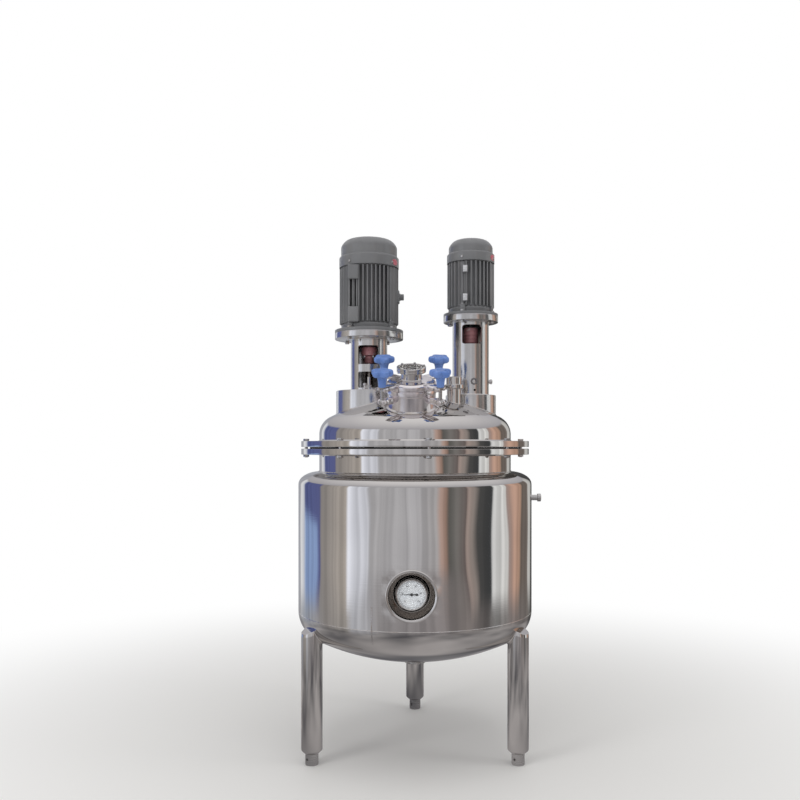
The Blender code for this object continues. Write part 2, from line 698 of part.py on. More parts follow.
def build_motor(mats, side, spot, plate_top, motor):
    """The finned motor frame with its flange, and the fan cowl over its top."""
    base = plate_top + GAP
    plate_r = motor["plate_r"]
    body_r = motor["body_r"]
    fin_low, fin_high = fin_ends(plate_top, motor)
    shaft_hole = motor["shaft_r"] + 0.0006
    rotor_hole = motor["rotor_r"] + 0.001
    core_r = body_r * 0.84
    fit_r = body_r - COWL_STEP - COWL_WALL - GAP
    shield = [
        (0.0, fin_high + 0.010),
        (fit_r, fin_high + 0.010),
        (fit_r, fin_high + 0.0008),
        (core_r - 0.004, fin_high + 0.0008),
        (core_r - 0.004, fin_low - 0.003),
        (body_r - 0.005, fin_low - 0.005),
        (body_r - 0.009, base + motor["flange_t"]),
        (plate_r, base + motor["flange_t"]),
        (plate_r, base),
        (0.0, base),
    ]
    frame = turned(f"{side}_motor", shield, DRIVE_STEPS, mats["motor"], ring=False)
    outline = finned_outline(core_r, body_r, motor["fins"], motor["pitch"], 0.004)
    fins = extruded(f"{side}_motor_fins", outline, fin_low, fin_high, cutter=True)
    space = [
        (0.0, fin_high + 0.020),
        (shaft_hole, fin_high + 0.020),
        (shaft_hole, fin_high - 0.014),
        (rotor_hole, fin_high - 0.014),
        (rotor_hole, fin_low + 0.010),
        (shaft_hole, fin_low + 0.010),
        (shaft_hole, base - 0.010),
        (0.0, base - 0.010),
    ]
    inside = turned(f"{side}_rotor_space", space, SMALL_STEPS, ring=False, cutter=True)
    join(frame, fins)
    cut(frame, inside)
    for piece in (frame, fins, inside):
        place(piece, spot)
    face = -body_r - PAD_PROUD
    for i, (x_low, x_high, low, high) in enumerate(motor["pads"]):
        pad = box(
            f"{side}_motor_pad_{i}",
            (x_low, face, plate_top + low),
            (x_high, face + motor["pad_depth"], plate_top + high),
            cutter=True,
        )
        join(frame, place(pad, spot))
    for i, (reach_in, reach_out, half_width, low, high) in enumerate(motor["side_boxes"]):
        block = box(
            f"{side}_motor_box_{i}",
            (body_r - reach_in, -half_width, plate_top + low),
            (body_r + reach_out, half_width, plate_top + high),
            cutter=True,
        )
        join(frame, place(block, spot))

    low = fin_high + 0.002
    top = low + motor["cowl_h"]
    band = motor["band"]
    upper = body_r - COWL_STEP
    lip_r = body_r + COWL_LIP
    section = [
        (0.012, top),
        (body_r - 0.022, top),
        (body_r - 0.009, top - 0.005),
        (upper, top - 0.018),
        (upper, low + band),
        (lip_r, low + band - 0.003),
        (lip_r, low),
        (upper - COWL_WALL, low),
        (upper - COWL_WALL, top - 0.020),
        (body_r - 0.024, top - COWL_WALL),
        (0.012, top - COWL_WALL),
    ]
    hood = place(turned(f"{side}_fan_cowl", section, DRIVE_STEPS, mats["motor"]), spot)
    for i in range(3):
        slot = box(
            f"{side}_cowl_slot_{i}",
            (-(body_r - 0.030), -0.004, top - 0.012),
            (body_r - 0.030, 0.004, top + 0.010),
            cutter=True,
            turn=i * pi / 3 + pi / 6,
        )
        cut(hood, place(slot, spot))


def build_turning(mats, side, spot, seat_top, bore, plate_z, motor):
    """Seal housing, coupling halves, agitator shaft, motor rotor and its fan."""
    foot_z = seat_top + GAP
    seal_top = seat_top + motor["seal_rise"]
    hole = SHAFT_R + 0.0008
    spigot_r = bore * cos(pi / DRIVE_STEPS) - GAP
    section = [
        (motor["seal_r"], seal_top),
        (motor["seal_r"], foot_z + 0.008),
        (bore + 0.008, foot_z + 0.008),
        (bore + 0.008, foot_z),
        (spigot_r, foot_z),
        (spigot_r, foot_z - 0.050),
        (hole, foot_z - 0.050),
        (hole, seal_top),
    ]
    place(turned(f"{side}_seal_housing", section, SMALL_STEPS, mats["satin"]), spot)

    low, split, high = (plate_z - drop for drop in motor["coupling_drops"])
    r_low, r_high = motor["coupling_r"]
    end_hole = SHAFT_END_R + GAP
    section = [
        (r_low, split - GAP),
        (r_low, low + 0.003),
        (r_low - 0.003, low),
        (end_hole, low),
        (end_hole, split - GAP),
    ]
    place(turned(f"{side}_coupling_low", section, SMALL_STEPS, mats["coupling"]), spot)
    rotor_end = motor["shaft_r"]
    section = [
        (r_high - 0.003, high),
        (r_high, high - 0.003),
        (r_high, split + GAP),
        (rotor_end + GAP, split + GAP),
        (rotor_end + GAP, high),
    ]
    place(turned(f"{side}_coupling_high", section, SMALL_STEPS, mats["coupling"]), spot)

    bottom = VESSEL_TANGENT_Z - motor["shaft_drop"]
    section = [
        (0.0, split - 0.002),
        (SHAFT_END_R, split - 0.002),
        (SHAFT_END_R, low - 0.004),
        (SHAFT_R, low - 0.004),
        (SHAFT_R, bottom),
        (0.0, bottom),
    ]
    place(turned(f"{side}_shaft", section, SMALL_STEPS, mats["polished"], ring=False), spot)

    fin_low, fin_high = fin_ends(plate_z + PLATE_T, motor)
    fan_z = fin_high + 0.022
    rotor_r = motor["rotor_r"]
    fan_r = motor["body_r"] - 0.020
    section = [
        (0.0, fan_z + 0.004),
        (fan_r, fan_z + 0.004),
        (fan_r, fan_z),
        (rotor_end, fan_z),
        (rotor_end, fin_high - 0.030),
        (rotor_r, fin_high - 0.030),
        (rotor_r, fin_low + 0.026),
        (rotor_end, fin_low + 0.026),
        (rotor_end, split + 0.002),
        (0.0, split + 0.002),
    ]
    rotor = place(turned(f"{side}_rotor", section, SMALL_STEPS, mats["satin"], ring=False), spot)
    for i in range(3):
        blade = box(
            f"{side}_fan_blade_{i}",
            (-fan_r + 0.002, -0.002, fan_z + 0.002),
            (fan_r - 0.002, 0.002, fan_z + 0.030),
            cutter=True,
            turn=i * pi / 3,
        )
        join(rotor, place(blade, spot))


def build_impellers(mats):
    """A toothed dispersing disc on the left shaft and a pitched-blade turbine on the right."""
    outline = []
    for i in range(DISC_TEETH):
        a = 2 * pi * i / DISC_TEETH
        for radius, angle in ((DISC_ROOT_R, a), (DISC_R, a + 0.16)):
            outline.append((radius * cos(angle), radius * sin(angle)))
    z = VESSEL_TANGENT_Z - LEFT_DRIVE["shaft_drop"] + 0.018
    disc = extruded("disperser_disc", outline, z, z + DISC_T, mats["polished"])
    hub = cylinder("disc_hub", DISC_HUB_R, z - 0.010, z + 0.022, SMALL_STEPS, cutter=True)
    hole = cylinder("disc_hole", SHAFT_R + GAP, z - 0.05, z + 0.05, SMALL_STEPS, cutter=True)
    join(disc, hub)
    cut(disc, hole)
    for piece in (disc, hub, hole):
        place(piece, (LEFT_X, 0.0, 0.0))

    z = VESSEL_TANGENT_Z - RIGHT_DRIVE["shaft_drop"] + 0.035
    half_hub = TURBINE_HUB_H / 2
    turbine = cylinder(
        "blade_turbine", TURBINE_HUB_R, z - half_hub, z + half_hub, SMALL_STEPS, mats["polished"]
    )
    hole = cylinder("turbine_hole", SHAFT_R + GAP, z - 0.1, z + 0.1, SMALL_STEPS, cutter=True)
    blades = []
    for i in range(4):
        blade = box(
            f"turbine_blade_{i}",
            (TURBINE_HUB_R - 0.006, -BLADE_W / 2, z - BLADE_T / 2),
            (TURBINE_R, BLADE_W / 2, z + BLADE_T / 2),
            cutter=True,
            tilt=pi / 4,
            turn=i * pi / 2,
        )
        blades.append(blade)
    join(turbine, *blades)
    cut(turbine, hole)
    for piece in (turbine, hole, *blades):
        place(piece, (RIGHT_X, 0.0, 0.0))


def knob_outline():
    """A star with five flat lobes."""
    points = []
    for i in range(5):
        middle = 2 * pi * i / 5
        for turn, radius in ((-0.26, KNOB_R), (0.26, KNOB_R), (pi / 5, KNOB_R * 0.64)):
            points.append((radius * cos(middle + turn), radius * sin(middle + turn)))
    return points


def build_manway(mats, tilt):
    """Hand hole with its cover, sight glass, four swing bolts and their knobs."""
    steel = mats["polished"]
    rim = MANWAY_RIM_W
    r_in = MANWAY_R - MANWAY_WALL
    section = [
        (MANWAY_R + 0.004, rim),
        (MANWAY_R + 0.004, rim - 0.016),
        (MANWAY_R, rim - 0.018),
        (MANWAY_R, -0.022),
        (r_in, -0.022),
        (r_in, rim),
    ]
    neck = place(turned("manway_neck", section, DRIVE_STEPS, steel), parent=tilt)

    low = COVER_LOW_W
    high = COVER_TOP_W
    section = [
        (SIGHT_R + 0.008, high + 0.003),
        (MANWAY_R - 0.010, high),
        (MANWAY_R, high - 0.006),
        (MANWAY_R, low),
        (SIGHT_R, low),
        (SIGHT_R, high + 0.003),
    ]
    cover = place(turned("manway_cover", section, DRIVE_STEPS, steel), parent=tilt)

    sight_low = high + 0.003 + GAP
    sight_top = sight_low + SIGHT_H
    flange_r = LENS_R + 0.010
    section = [
        (flange_r, sight_top),
        (flange_r, sight_top - 0.017),
        (SIGHT_R + SIGHT_WALL, sight_top - 0.017),
        (SIGHT_R + SIGHT_WALL, sight_low),
        (SIGHT_R, sight_low),
        (SIGHT_R, sight_top - 0.010),
        (LENS_R, sight_top - 0.010),
        (LENS_R, sight_top),
    ]
    place(turned("sight_glass_body", section, DRIVE_STEPS, steel), parent=tilt)
    lens = cylinder(
        "sight_glass_lens",
        LENS_R - GAP,
        sight_top - 0.010 + GAP,
        sight_top - 0.002,
        DRIVE_STEPS,
        mats["glass"],
    )
    place(lens, parent=tilt)

    slot_half = SWING_BOLT_R + 0.0015
    for i in range(4):
        turn = radians(45 + 90 * i)
        ear = box(
            f"cover_ear_{i}",
            (MANWAY_R - 0.030, -0.019, low + 0.004),
            (SWING_R + 0.006, 0.019, high - 0.0015),
            cutter=True,
            turn=turn,
        )
        slot = box(
            f"cover_slot_{i}",
            (SWING_R - slot_half, -slot_half, low - 0.01),
            (SWING_R + 0.030, slot_half, high + 0.01),
            cutter=True,
            turn=turn,
        )
        place(ear, parent=tilt)
        place(slot, parent=tilt)
        join(cover, ear)
        cut(cover, slot)

        lug = box(
            f"neck_lug_{i}",
            (MANWAY_R - 0.003, -0.013, SWING_PIVOT_W - 0.011),
            (SWING_R + 0.010, 0.013, SWING_PIVOT_W + 0.008),
            cutter=True,
            turn=turn,
        )
        fork = box(
            f"neck_fork_{i}",
            (SWING_R - 0.018, -0.0065, SWING_PIVOT_W - 0.03),
            (SWING_R + 0.030, 0.0065, SWING_PIVOT_W + 0.03),
            cutter=True,
            turn=turn,
        )
        pin = cylinder(f"neck_pin_{i}", 0.004, -0.012, 0.012, 6, cutter=True)
        along = Matrix.Rotation(turn, 4, "Z") @ Matrix.Rotation(pi / 2, 4, "X")
        x, y = SWING_R * cos(turn), SWING_R * sin(turn)
        place(lug, parent=tilt)
        place(fork, parent=tilt)
        place(pin, (x, y, SWING_PIVOT_W), along.to_euler(), tilt)
        join(neck, lug)
        cut(neck, fork)
        join(neck, pin)

    bolt_mesh = swing_bolt_mesh(mats)
    knob_mesh = star_knob_mesh(mats)
    for i, name in enumerate(("rear_right", "rear_left", "front_left", "front_right")):
        turn = radians(45 + 90 * i)
        x, y = SWING_R * cos(turn), SWING_R * sin(turn)
        bolt = link(f"swing_bolt_{name}", bolt_mesh, mats["satin"])
        place(bolt, (x, y, SWING_PIVOT_W), (0.0, 0.0, turn), tilt)
        knob = link(f"knob_{name}", knob_mesh, mats["knob"])
        place(knob, (x, y, SWING_PIVOT_W), (0.0, 0.0, turn), tilt)


def swing_bolt_mesh(mats):
    """An eye bolt standing on its pivot, which is at its origin."""
    top = KNOB_TOP_W - 0.012 - SWING_PIVOT_W
    bolt = cylinder("swing_bolt", SWING_BOLT_R, 0.006, top, 8, mats["satin"])
    eye = cylinder("swing_eye", 0.010, -0.006, 0.006, 10, cutter=True)
    hole = cylinder("swing_hole", 0.0046, -0.02, 0.02, 8, cutter=True)
    place(eye, rotation=(pi / 2, 0.0, 0.0))
    place(hole, rotation=(pi / 2, 0.0, 0.0))
    join(bolt, eye)
    cut(bolt, hole)
    return settled_mesh(bolt, "swing_bolt")


def star_knob_mesh(mats):
    """A star knob with a tapered hub, hollow for its bolt. Its origin is on the bolt's pivot."""
    low = KNOB_LOW_W - SWING_PIVOT_W
    top = KNOB_TOP_W - SWING_PIVOT_W
    waist = top - 0.024
    knob = extruded("star_knob", knob_outline(), waist, top, mats["knob"])
    hub = cylinder("knob_hub", 0.0125, low, waist + 0.004, 10, cutter=True, top_radius=0.020)
    hole = cylinder("knob_hole", SWING_BOLT_R + 0.0006, 0.0, top - 0.0115, 10, cutter=True)
    join(knob, hub)
    cut(knob, hole)
    return settled_mesh(knob, "star_knob")


def build_port(mats):
    """A short clamped pipe end with its cap, ring and wing nut."""
    low = crown_z(PORT_X, PORT_Y) - 0.018
    rim = crown_z(PORT_X, PORT_Y) + PORT_H
    spot = (PORT_X, PORT_Y, 0.0)
    section = [
        (PORT_R + 0.007, rim),
        (PORT_R + 0.007, rim - 0.004),
        (PORT_R, rim - 0.008),
        (PORT_R, low),
        (PORT_R - 0.003, low),
        (PORT_R - 0.003, rim),
    ]
    place(turned("port_ferrule", section, SMALL_STEPS, mats["polished"]), spot)
    ring_r = PORT_R + 0.011
    skirt_r = PORT_R + 0.007 + GAP
    section = [
        (0.0, rim + 0.036),
        (PORT_R + 0.003, rim + 0.036),
        (PORT_R + 0.003, rim + 0.008),
        (ring_r, rim + 0.008),
        (ring_r, rim - 0.008),
        (skirt_r, rim - 0.008),
        (skirt_r, rim + GAP),
        (0.0, rim + GAP),
    ]
    clamp = place(turned("port_clamp", section, SMALL_STEPS, mats["polished"], ring=False), spot)
    stud = cylinder("port_stud", 0.004, ring_r - 0.002, ring_r + 0.016, 8, cutter=True)
    place(stud, (PORT_X, PORT_Y, rim), (0.0, -pi / 2, radians(20)))
    wing = box(
        "port_wing",
        (-ring_r - 0.014, -0.020, rim - 0.005),
        (-ring_r - 0.006, 0.020, rim + 0.005),
        cutter=True,
        turn=radians(20),
    )
    join(clamp, stud, place(wing, spot))


def stand_over_origin():
    """Move all from the vessel's axis to its place in the part's own frame."""
    for obj in bpy.data.objects:
        if obj.parent is None:
            obj.location.x += AXIS_X
            obj.location.y += AXIS_Y


def shade_rounds():
    """Settle each piece's modifiers, then shade round faces smooth and keep edges sharp."""
    bpy.context.view_layer.update()
    depsgraph = bpy.context.evaluated_depsgraph_get()
    pieces = [obj for obj in bpy.data.collections[COLLECTION].objects if obj.type == "MESH"]
    built = [obj for obj in pieces if obj.modifiers]
    meshes = [bpy.data.meshes.new_from_object(obj.evaluated_get(depsgraph)) for obj in built]
    for obj, mesh in zip(built, meshes):
        mesh.name = obj.name
        obj.modifiers.clear()
        obj.data = mesh
    for mesh in {obj.data for obj in pieces}:
        mesh.shade_smooth()
        mesh.set_sharp_from_angle(angle=radians(40))


# The two drives. Heights are taken up from the seat's top or the plate's top, and down from the
# plate's underside, so that each group of pieces keeps together.
PAD_PROUD = 0.004

LEFT_DRIVE = {
    "seat_r": 0.120,
    "seat_rise": 0.159,
    "lantern_h": 0.189,
    "plate_r": 0.125,
    "flange_t": 0.011,
    "window_half": 0.036,
    "seal_windows": ((0.009, 0.067),),
    "coupling_windows": ((0.095, 0.027),),
    "corner": 0.006,
    "body_r": 0.108,
    "rotor_r": 0.052,
    "shaft_r": 0.012,
    "fin_rise": 0.032,
    "fin_h": 0.204,
    "fins": 9,
    "pitch": 0.0150,
    "cowl_h": 0.102,
    "band": 0.030,
    "coupling_drops": (0.088, 0.059, 0.027),
    "coupling_r": (0.018, 0.0285),
    "seal_rise": 0.022,
    "seal_r": 0.028,
    "shaft_drop": 0.060,
    "pads": ((-0.066, -0.030, 0.171, 0.201), (-0.066, -0.030, 0.055, 0.085)),
    "pad_depth": 0.032,
    "side_boxes": ((0.038, 0.020, 0.026, 0.113, 0.157),),
}

RIGHT_DRIVE = {
    "seat_r": 0.092,
    "seat_rise": 0.143,
    "lantern_h": 0.267,
    "plate_r": 0.100,
    "flange_t": 0.009,
    "window_half": 0.035,
    "seal_windows": (),
    "coupling_windows": ((0.083, 0.014),),
    "corner": 0.010,
    "body_r": 0.086,
    "rotor_r": 0.042,
    "shaft_r": 0.0095,
    "fin_rise": 0.030,
    "fin_h": 0.162,
    "fins": 7,
    "pitch": 0.0157,
    "cowl_h": 0.084,
    "band": 0.026,
    "coupling_drops": (0.077, 0.048, 0.019),
    "coupling_r": (0.027, 0.027),
    "seal_rise": 0.072,
    "seal_r": 0.034,
    "shaft_drop": 0.050,
    "pads": ((-0.052, -0.026, 0.133, 0.157), (-0.052, -0.026, 0.045, 0.069)),
    "pad_depth": 0.024,
    "side_boxes": (),
}


def main():
    clear_scene()
    mats = make_materials()
    manway_z = crown_z(MANWAY_X, MANWAY_Y)
    lean = asin(-MANWAY_Y / LID_CROWN_R)
    tilt = empty("manway_axis", (MANWAY_X, MANWAY_Y, manway_z), (lean, 0.0, 0.0))
    seats = (("left", LEFT_X, LEFT_DRIVE["seat_r"]), ("right", RIGHT_X, RIGHT_DRIVE["seat_r"]))

    build_vessel(mats)
    build_lid(mats, seats, tilt, (PORT_X, PORT_Y))
    build_flange_bolts(mats)
    build_legs(mats)
    build_gauge(mats)
    build_nozzles(mats)
    seat, _, seat_top = build_drive(mats, "left", LEFT_X, LEFT_DRIVE)
    fitting = cylinder("left_seat_fitting", 0.008, seat_top - 0.014, seat_top + 0.024, 10, cutter=True)
    join(seat, place(fitting, (LEFT_X - 0.010, -LEFT_DRIVE["seat_r"] + 0.026, 0.0)))
    _, lantern, seat_top = build_drive(mats, "right", RIGHT_X, RIGHT_DRIVE)
    plug = cylinder("right_front_plug", 0.0135, LANTERN_R - 0.004, LANTERN_R + 0.008, 12, cutter=True)
    place(plug, (RIGHT_X + 0.008, 0.0, seat_top + 0.048), (pi / 2, 0.0, 0.0))
    union = cylinder("right_side_union", 0.009, LANTERN_R - 0.004, LANTERN_R + 0.013, 10, cutter=True)
    place(union, (RIGHT_X, 0.0, seat_top + 0.051), (0.0, pi / 2, 0.0))
    join(lantern, plug, union)
    build_impellers(mats)
    build_manway(mats, tilt)
    build_port(mats)
    stand_over_origin()
    shade_rounds()


main()
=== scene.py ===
from math import asin, atan2, cos, hypot, pi, radians, sin, sqrt

import bmesh
import bpy
from mathutils import Matrix, Vector


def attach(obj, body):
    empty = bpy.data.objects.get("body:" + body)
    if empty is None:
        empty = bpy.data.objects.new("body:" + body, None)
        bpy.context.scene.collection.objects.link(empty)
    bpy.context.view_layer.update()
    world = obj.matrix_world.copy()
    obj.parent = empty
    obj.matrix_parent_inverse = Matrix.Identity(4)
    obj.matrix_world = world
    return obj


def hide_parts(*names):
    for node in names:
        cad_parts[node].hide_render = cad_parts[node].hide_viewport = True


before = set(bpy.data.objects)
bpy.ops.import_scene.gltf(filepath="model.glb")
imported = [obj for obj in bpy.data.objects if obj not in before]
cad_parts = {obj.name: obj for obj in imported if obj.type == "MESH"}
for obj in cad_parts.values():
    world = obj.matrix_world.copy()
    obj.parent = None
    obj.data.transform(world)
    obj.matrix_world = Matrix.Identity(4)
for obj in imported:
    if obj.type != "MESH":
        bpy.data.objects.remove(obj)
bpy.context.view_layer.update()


# Inner vessel. A rolled and welded shell of stainless sheet with a dished bottom, hung in the
# middle of the jacket. Only its neck and its thick bolting flange show above the jacket.
# The tank's own axis stands a little to the left and front of the middle of the whole part.
TANK_AXIS = (-0.019, -0.007, 0.0)
VESSEL_R = 0.35
VESSEL_WALL = 0.005
FLANGE_R = 0.415
FLANGE_LOW = 1.062
FLANGE_T = 0.021
FINE = 144


def softened(shell, geom, size, steps=2, affect="EDGES"):
    """Round off edges or corners of a shell."""
    bmesh.ops.bevel(
        shell, geom=geom, offset=size, segments=steps, profile=0.5, affect=affect, material=-1
    )


def turned(section, steps=FINE, closed=True, base=0.0):
    """Spin a half section of (radius, height over the base, edge rounding) round the upright axis."""
    shell = bmesh.new()
    corners = [shell.verts.new((spot[0], 0.0, base + spot[1])) for spot in section]
    for one, next_one in zip(corners, corners[1:]):
        shell.edges.new((one, next_one))
    if closed:
        shell.edges.new((corners[-1], corners[0]))
    for rounding in sorted({spot[2] for spot in section if len(spot) > 2}):
        picked = [v for v, spot in zip(corners, section) if len(spot) > 2 and spot[2] == rounding]
        softened(shell, picked, rounding, 3, "VERTICES")
    profile = shell.verts[:] + shell.edges[:]
    middle, upright = (0.0, 0.0, 0.0), (0.0, 0.0, 1.0)
    bmesh.ops.spin(
        shell, geom=profile, cent=middle, axis=upright, angle=2 * pi, steps=steps, use_merge=True
    )
    bmesh.ops.remove_doubles(shell, verts=shell.verts, dist=0.000005)
    bmesh.ops.recalc_face_normals(shell, faces=shell.faces)
    return shell


def dished(radius, knuckle, crown, tangent, up, hole=0.0, count=14):
    """Half section of a dished end, from its straight edge to its middle or to a hole in it."""
    reach = radius - knuckle
    rise = sqrt((crown - knuckle) ** 2 - reach**2)
    meet = asin(reach / (crown - knuckle))
    spots = []
    for i in range(count + 1):
        turn = (pi / 2 - meet) * i / count
        spots.append((reach + knuckle * cos(turn), tangent + up * knuckle * sin(turn)))
    middle = asin(hole / crown)
    for i in range(1, 2 * count + 1):
        turn = meet + (middle - meet) * i / (2 * count)
        spots.append((crown * sin(turn), tangent + up * (crown * cos(turn) - rise)))
    return spots


def offset_in(spots, wall):
    """The same section moved in by the sheet's thickness."""
    inner = []
    for i, (r, z) in enumerate(spots):
        r0, z0 = spots[max(i - 1, 0)]
        r1, z1 = spots[min(i + 1, len(spots) - 1)]
        run = hypot(r1 - r0, z1 - z0)
        inner.append((max(r + (z1 - z0) / run * wall, 0.0), z - (r1 - r0) / run * wall))
    return inner


def fit(name, shells, finish, nodes=(), body="vessel", spot=None, crease=35):
    """Put one piece together from its shells, set it in place, finish it and hang it on its body."""
    whole = bmesh.new()
    for shell in shells:
        part = shell
        if not isinstance(shell, bpy.types.Mesh):
            part = bpy.data.meshes.new("part")
            shell.to_mesh(part)
            shell.free()
        whole.from_mesh(part)
        bpy.data.meshes.remove(part)
    if spot is not None:
        bmesh.ops.transform(whole, matrix=spot, verts=whole.verts)
    bmesh.ops.translate(whole, vec=TANK_AXIS, verts=whole.verts)
    mesh = bpy.data.meshes.new(name)
    whole.to_mesh(mesh)
    whole.free()
    mesh.shade_smooth()
    mesh.set_sharp_from_angle(angle=radians(crease))
    mesh.materials.append(finish)
    obj = bpy.data.objects.new(name, mesh)
    bpy.context.scene.collection.objects.link(obj)
    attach(obj, body)
    if nodes:
        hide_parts(*nodes)


def new_finish(name, metallic, coat=0.0):
    finish = bpy.data.materials.new(name)
    finish.use_nodes = True
    shader = finish.node_tree.nodes["Principled BSDF"]
    shader.inputs["Metallic"].default_value = metallic
    shader.inputs["Coat Weight"].default_value = coat
    return finish, shader


def grain(finish, scale, detail=2.0, stretch=(1.0, 1.0, 1.0)):
    """Noise in the piece's own coordinates, drawn out along an axis for rolled or ground sheet."""
    nodes = finish.node_tree.nodes
    links = finish.node_tree.links
    where = nodes.new("ShaderNodeTexCoord")
    laid = nodes.new("ShaderNodeMapping")
    laid.inputs["Scale"].default_value = stretch
    noise = nodes.new("ShaderNodeTexNoise")
    noise.inputs["Scale"].default_value = scale
    noise.inputs["Detail"].default_value = detail
    links.new(where.outputs["Object"], laid.inputs["Vector"])
    links.new(laid.outputs["Vector"], noise.inputs["Vector"])
    return noise.outputs["Fac"]


def feed(owner, socket, given):
    """Set a socket to a number or a colour, or link another node's output to it."""
    if isinstance(given, float):
        socket.default_value = given
    elif isinstance(given, tuple):
        socket.default_value = (*given, 1.0)
    else:
        owner.node_tree.links.new(given, socket)


def ranged(owner, source, low, high, start=0.35, end=0.65, ease="LINEAR"):
    """Take the middle of a pattern to a range of values."""
    node = owner.node_tree.nodes.new("ShaderNodeMapRange")
    node.interpolation_type = ease
    for name, level in (("From Min", start), ("From Max", end), ("To Min", low), ("To Max", high)):
        node.inputs[name].default_value = level
    feed(owner, node.inputs["Value"], source)
    return node.outputs["Result"]


def blended(owner, source, first, second, how="MIX"):
    """Blend two colours by a pattern or a fixed share. Either may be another pattern's colour."""
    node = owner.node_tree.nodes.new("ShaderNodeMix")
    node.data_type = "RGBA"
    node.blend_type = how
    for given, socket in zip((source, first, second), (0, 6, 7)):
        feed(owner, node.inputs[socket], given)
    return node.outputs[2]


def relief(finish, *layers):
    """Chain bumps of (pattern, depth in metres) and give the last one's normal."""
    under = None
    for pattern, depth in layers:
        node = finish.node_tree.nodes.new("ShaderNodeBump")
        node.inputs["Distance"].default_value = depth
        finish.node_tree.links.new(pattern, node.inputs["Height"])
        if under:
            finish.node_tree.links.new(under, node.inputs["Normal"])
        under = node.outputs["Normal"]
    return under


def steel_finish(name, light, dark, gloss, lines, wave):
    """Stainless steel with smudged gloss, polishing lines round the axis and slightly wavy sheet."""
    finish, shader = new_finish(name, 1.0)
    join = finish.node_tree.links.new
    smudge = grain(finish, 5.0, 4.0)
    line = grain(finish, 3.0, 2.0, (1.0, 1.0, lines))
    fine = grain(finish, 22.0, 3.0, (1.0, 1.0, lines / 5))
    dent = grain(finish, 4.5, 1.0, (1.0, 1.0, 0.45))
    join(blended(finish, ranged(finish, smudge, 0.0, 1.0), dark, light), shader.inputs["Base Color"])
    join(ranged(finish, fine, gloss[0], gloss[1], 0.3, 0.7), shader.inputs["Roughness"])
    join(relief(finish, (dent, wave), (line, 0.0018 / lines)), shader.inputs["Normal"])
    return finish


polished_sheet = steel_finish(
    "polished_sheet", (0.68, 0.66, 0.64), (0.63, 0.61, 0.595), (0.02, 0.07), 90.0, 0.009
)

OUTLET_R = 0.0283
flange_top = FLANGE_LOW + FLANGE_T
vessel_dish = dished(VESSEL_R, 0.06, 0.6, 0.54, -1, OUTLET_R)
vessel_section = [(FLANGE_R, flange_top, 0.0012), (FLANGE_R, FLANGE_LOW, 0.0012)]
vessel_section += [(VESSEL_R + 0.004, FLANGE_LOW), (VESSEL_R, FLANGE_LOW - 0.004)]
vessel_section += vessel_dish + offset_in(vessel_dish, VESSEL_WALL)[::-1]
vessel_section += [(VESSEL_R - VESSEL_WALL, flange_top, 0.001)]
fit("vessel_shell", [turned(vessel_section)], polished_sheet, ["inner_vessel"])


# Heating jacket. Polished stainless sheet rolled round the vessel with a rounded shoulder and a
# dished bottom welded on below. The gauge pocket and the two nozzles are let through its wall.
JACKET_R = 0.425
JACKET_WALL = 0.004
JACKET_KNUCKLE = 0.1
JACKET_CROWN = 0.83
SEAM_Z = 0.5
GAUGE_X = -0.011
GAUGE_Z = 0.615
POCKET_R = 0.08
NOZZLE_HOLE_R = 0.0112
LAID_X = Matrix.Rotation(pi / 2, 4, "X")
LAID_Y = Matrix.Rotation(pi / 2, 4, "Y")


def at(x, y=0.0, z=0.0):
    return Matrix.Translation((x, y, z))


def spun(turn):
    return Matrix.Rotation(turn, 4, "Z")


def four_round(reach, start=0.0):
    """Four places round an axis, between its quarters."""
    return [spun(pi / 4 + i * pi / 2 + start) @ at(reach) for i in range(4)]


def hole_in(shell, axis, depth, corner, half_w=0.0, half_h=0.0):
    """Open a round or round-cornered hole in a shell, along Z of the hole's own axis."""
    into = axis.inverted()
    reach_u, reach_v = max(half_w - corner, 0.0), max(half_h - corner, 0.0)

    def nearest(spot):
        core = Vector((max(-reach_u, min(reach_u, spot.x)), max(-reach_v, min(reach_v, spot.y))))
        return core, Vector((spot.x, spot.y)) - core

    gone = []
    for face in shell.faces:
        spot = into @ face.calc_center_median()
        if abs(spot.z) < depth and nearest(spot)[1].length < corner:
            gone.append(face)
    bmesh.ops.delete(shell, geom=gone, context="FACES")
    rim = [e for e in shell.edges if e.is_boundary]
    for vert in {v for e in rim for v in e.verts}:
        spot = into @ vert.co
        core, away = nearest(spot)
        if abs(spot.z) < depth and 0.0 < away.length < corner * 1.6:
            away *= corner / away.length
            vert.co = axis @ Vector((core.x + away.x, core.y + away.y, spot.z))
    return [e for e in rim if e.is_valid]


def walled(shell, wall):
    """Give an open skin the thickness of its sheet, inwards."""
    bmesh.ops.solidify(shell, geom=shell.faces[:], thickness=wall)
    bmesh.ops.recalc_face_normals(shell, faces=shell.faces)
    return shell


def sheet_grid(section, steps, tall=0.012):
    """Spin an open section whose long straights are split, so that holes can be cut in it."""
    split = [section[0]]
    for r, z in section[1:]:
        r0, z0 = split[-1]
        parts = max(1, round(hypot(r - r0, z - z0) / tall))
        split += [(r0 + (r - r0) * i / parts, z0 + (z - z0) * i / parts) for i in range(1, parts + 1)]
    shell = turned(split, steps, closed=False)
    outward = sum(f.normal.dot(f.calc_center_median() - Vector((0.0, 0.0, 0.8))) for f in shell.faces)
    if outward < 0:
        bmesh.ops.reverse_faces(shell, faces=shell.faces)
    return shell


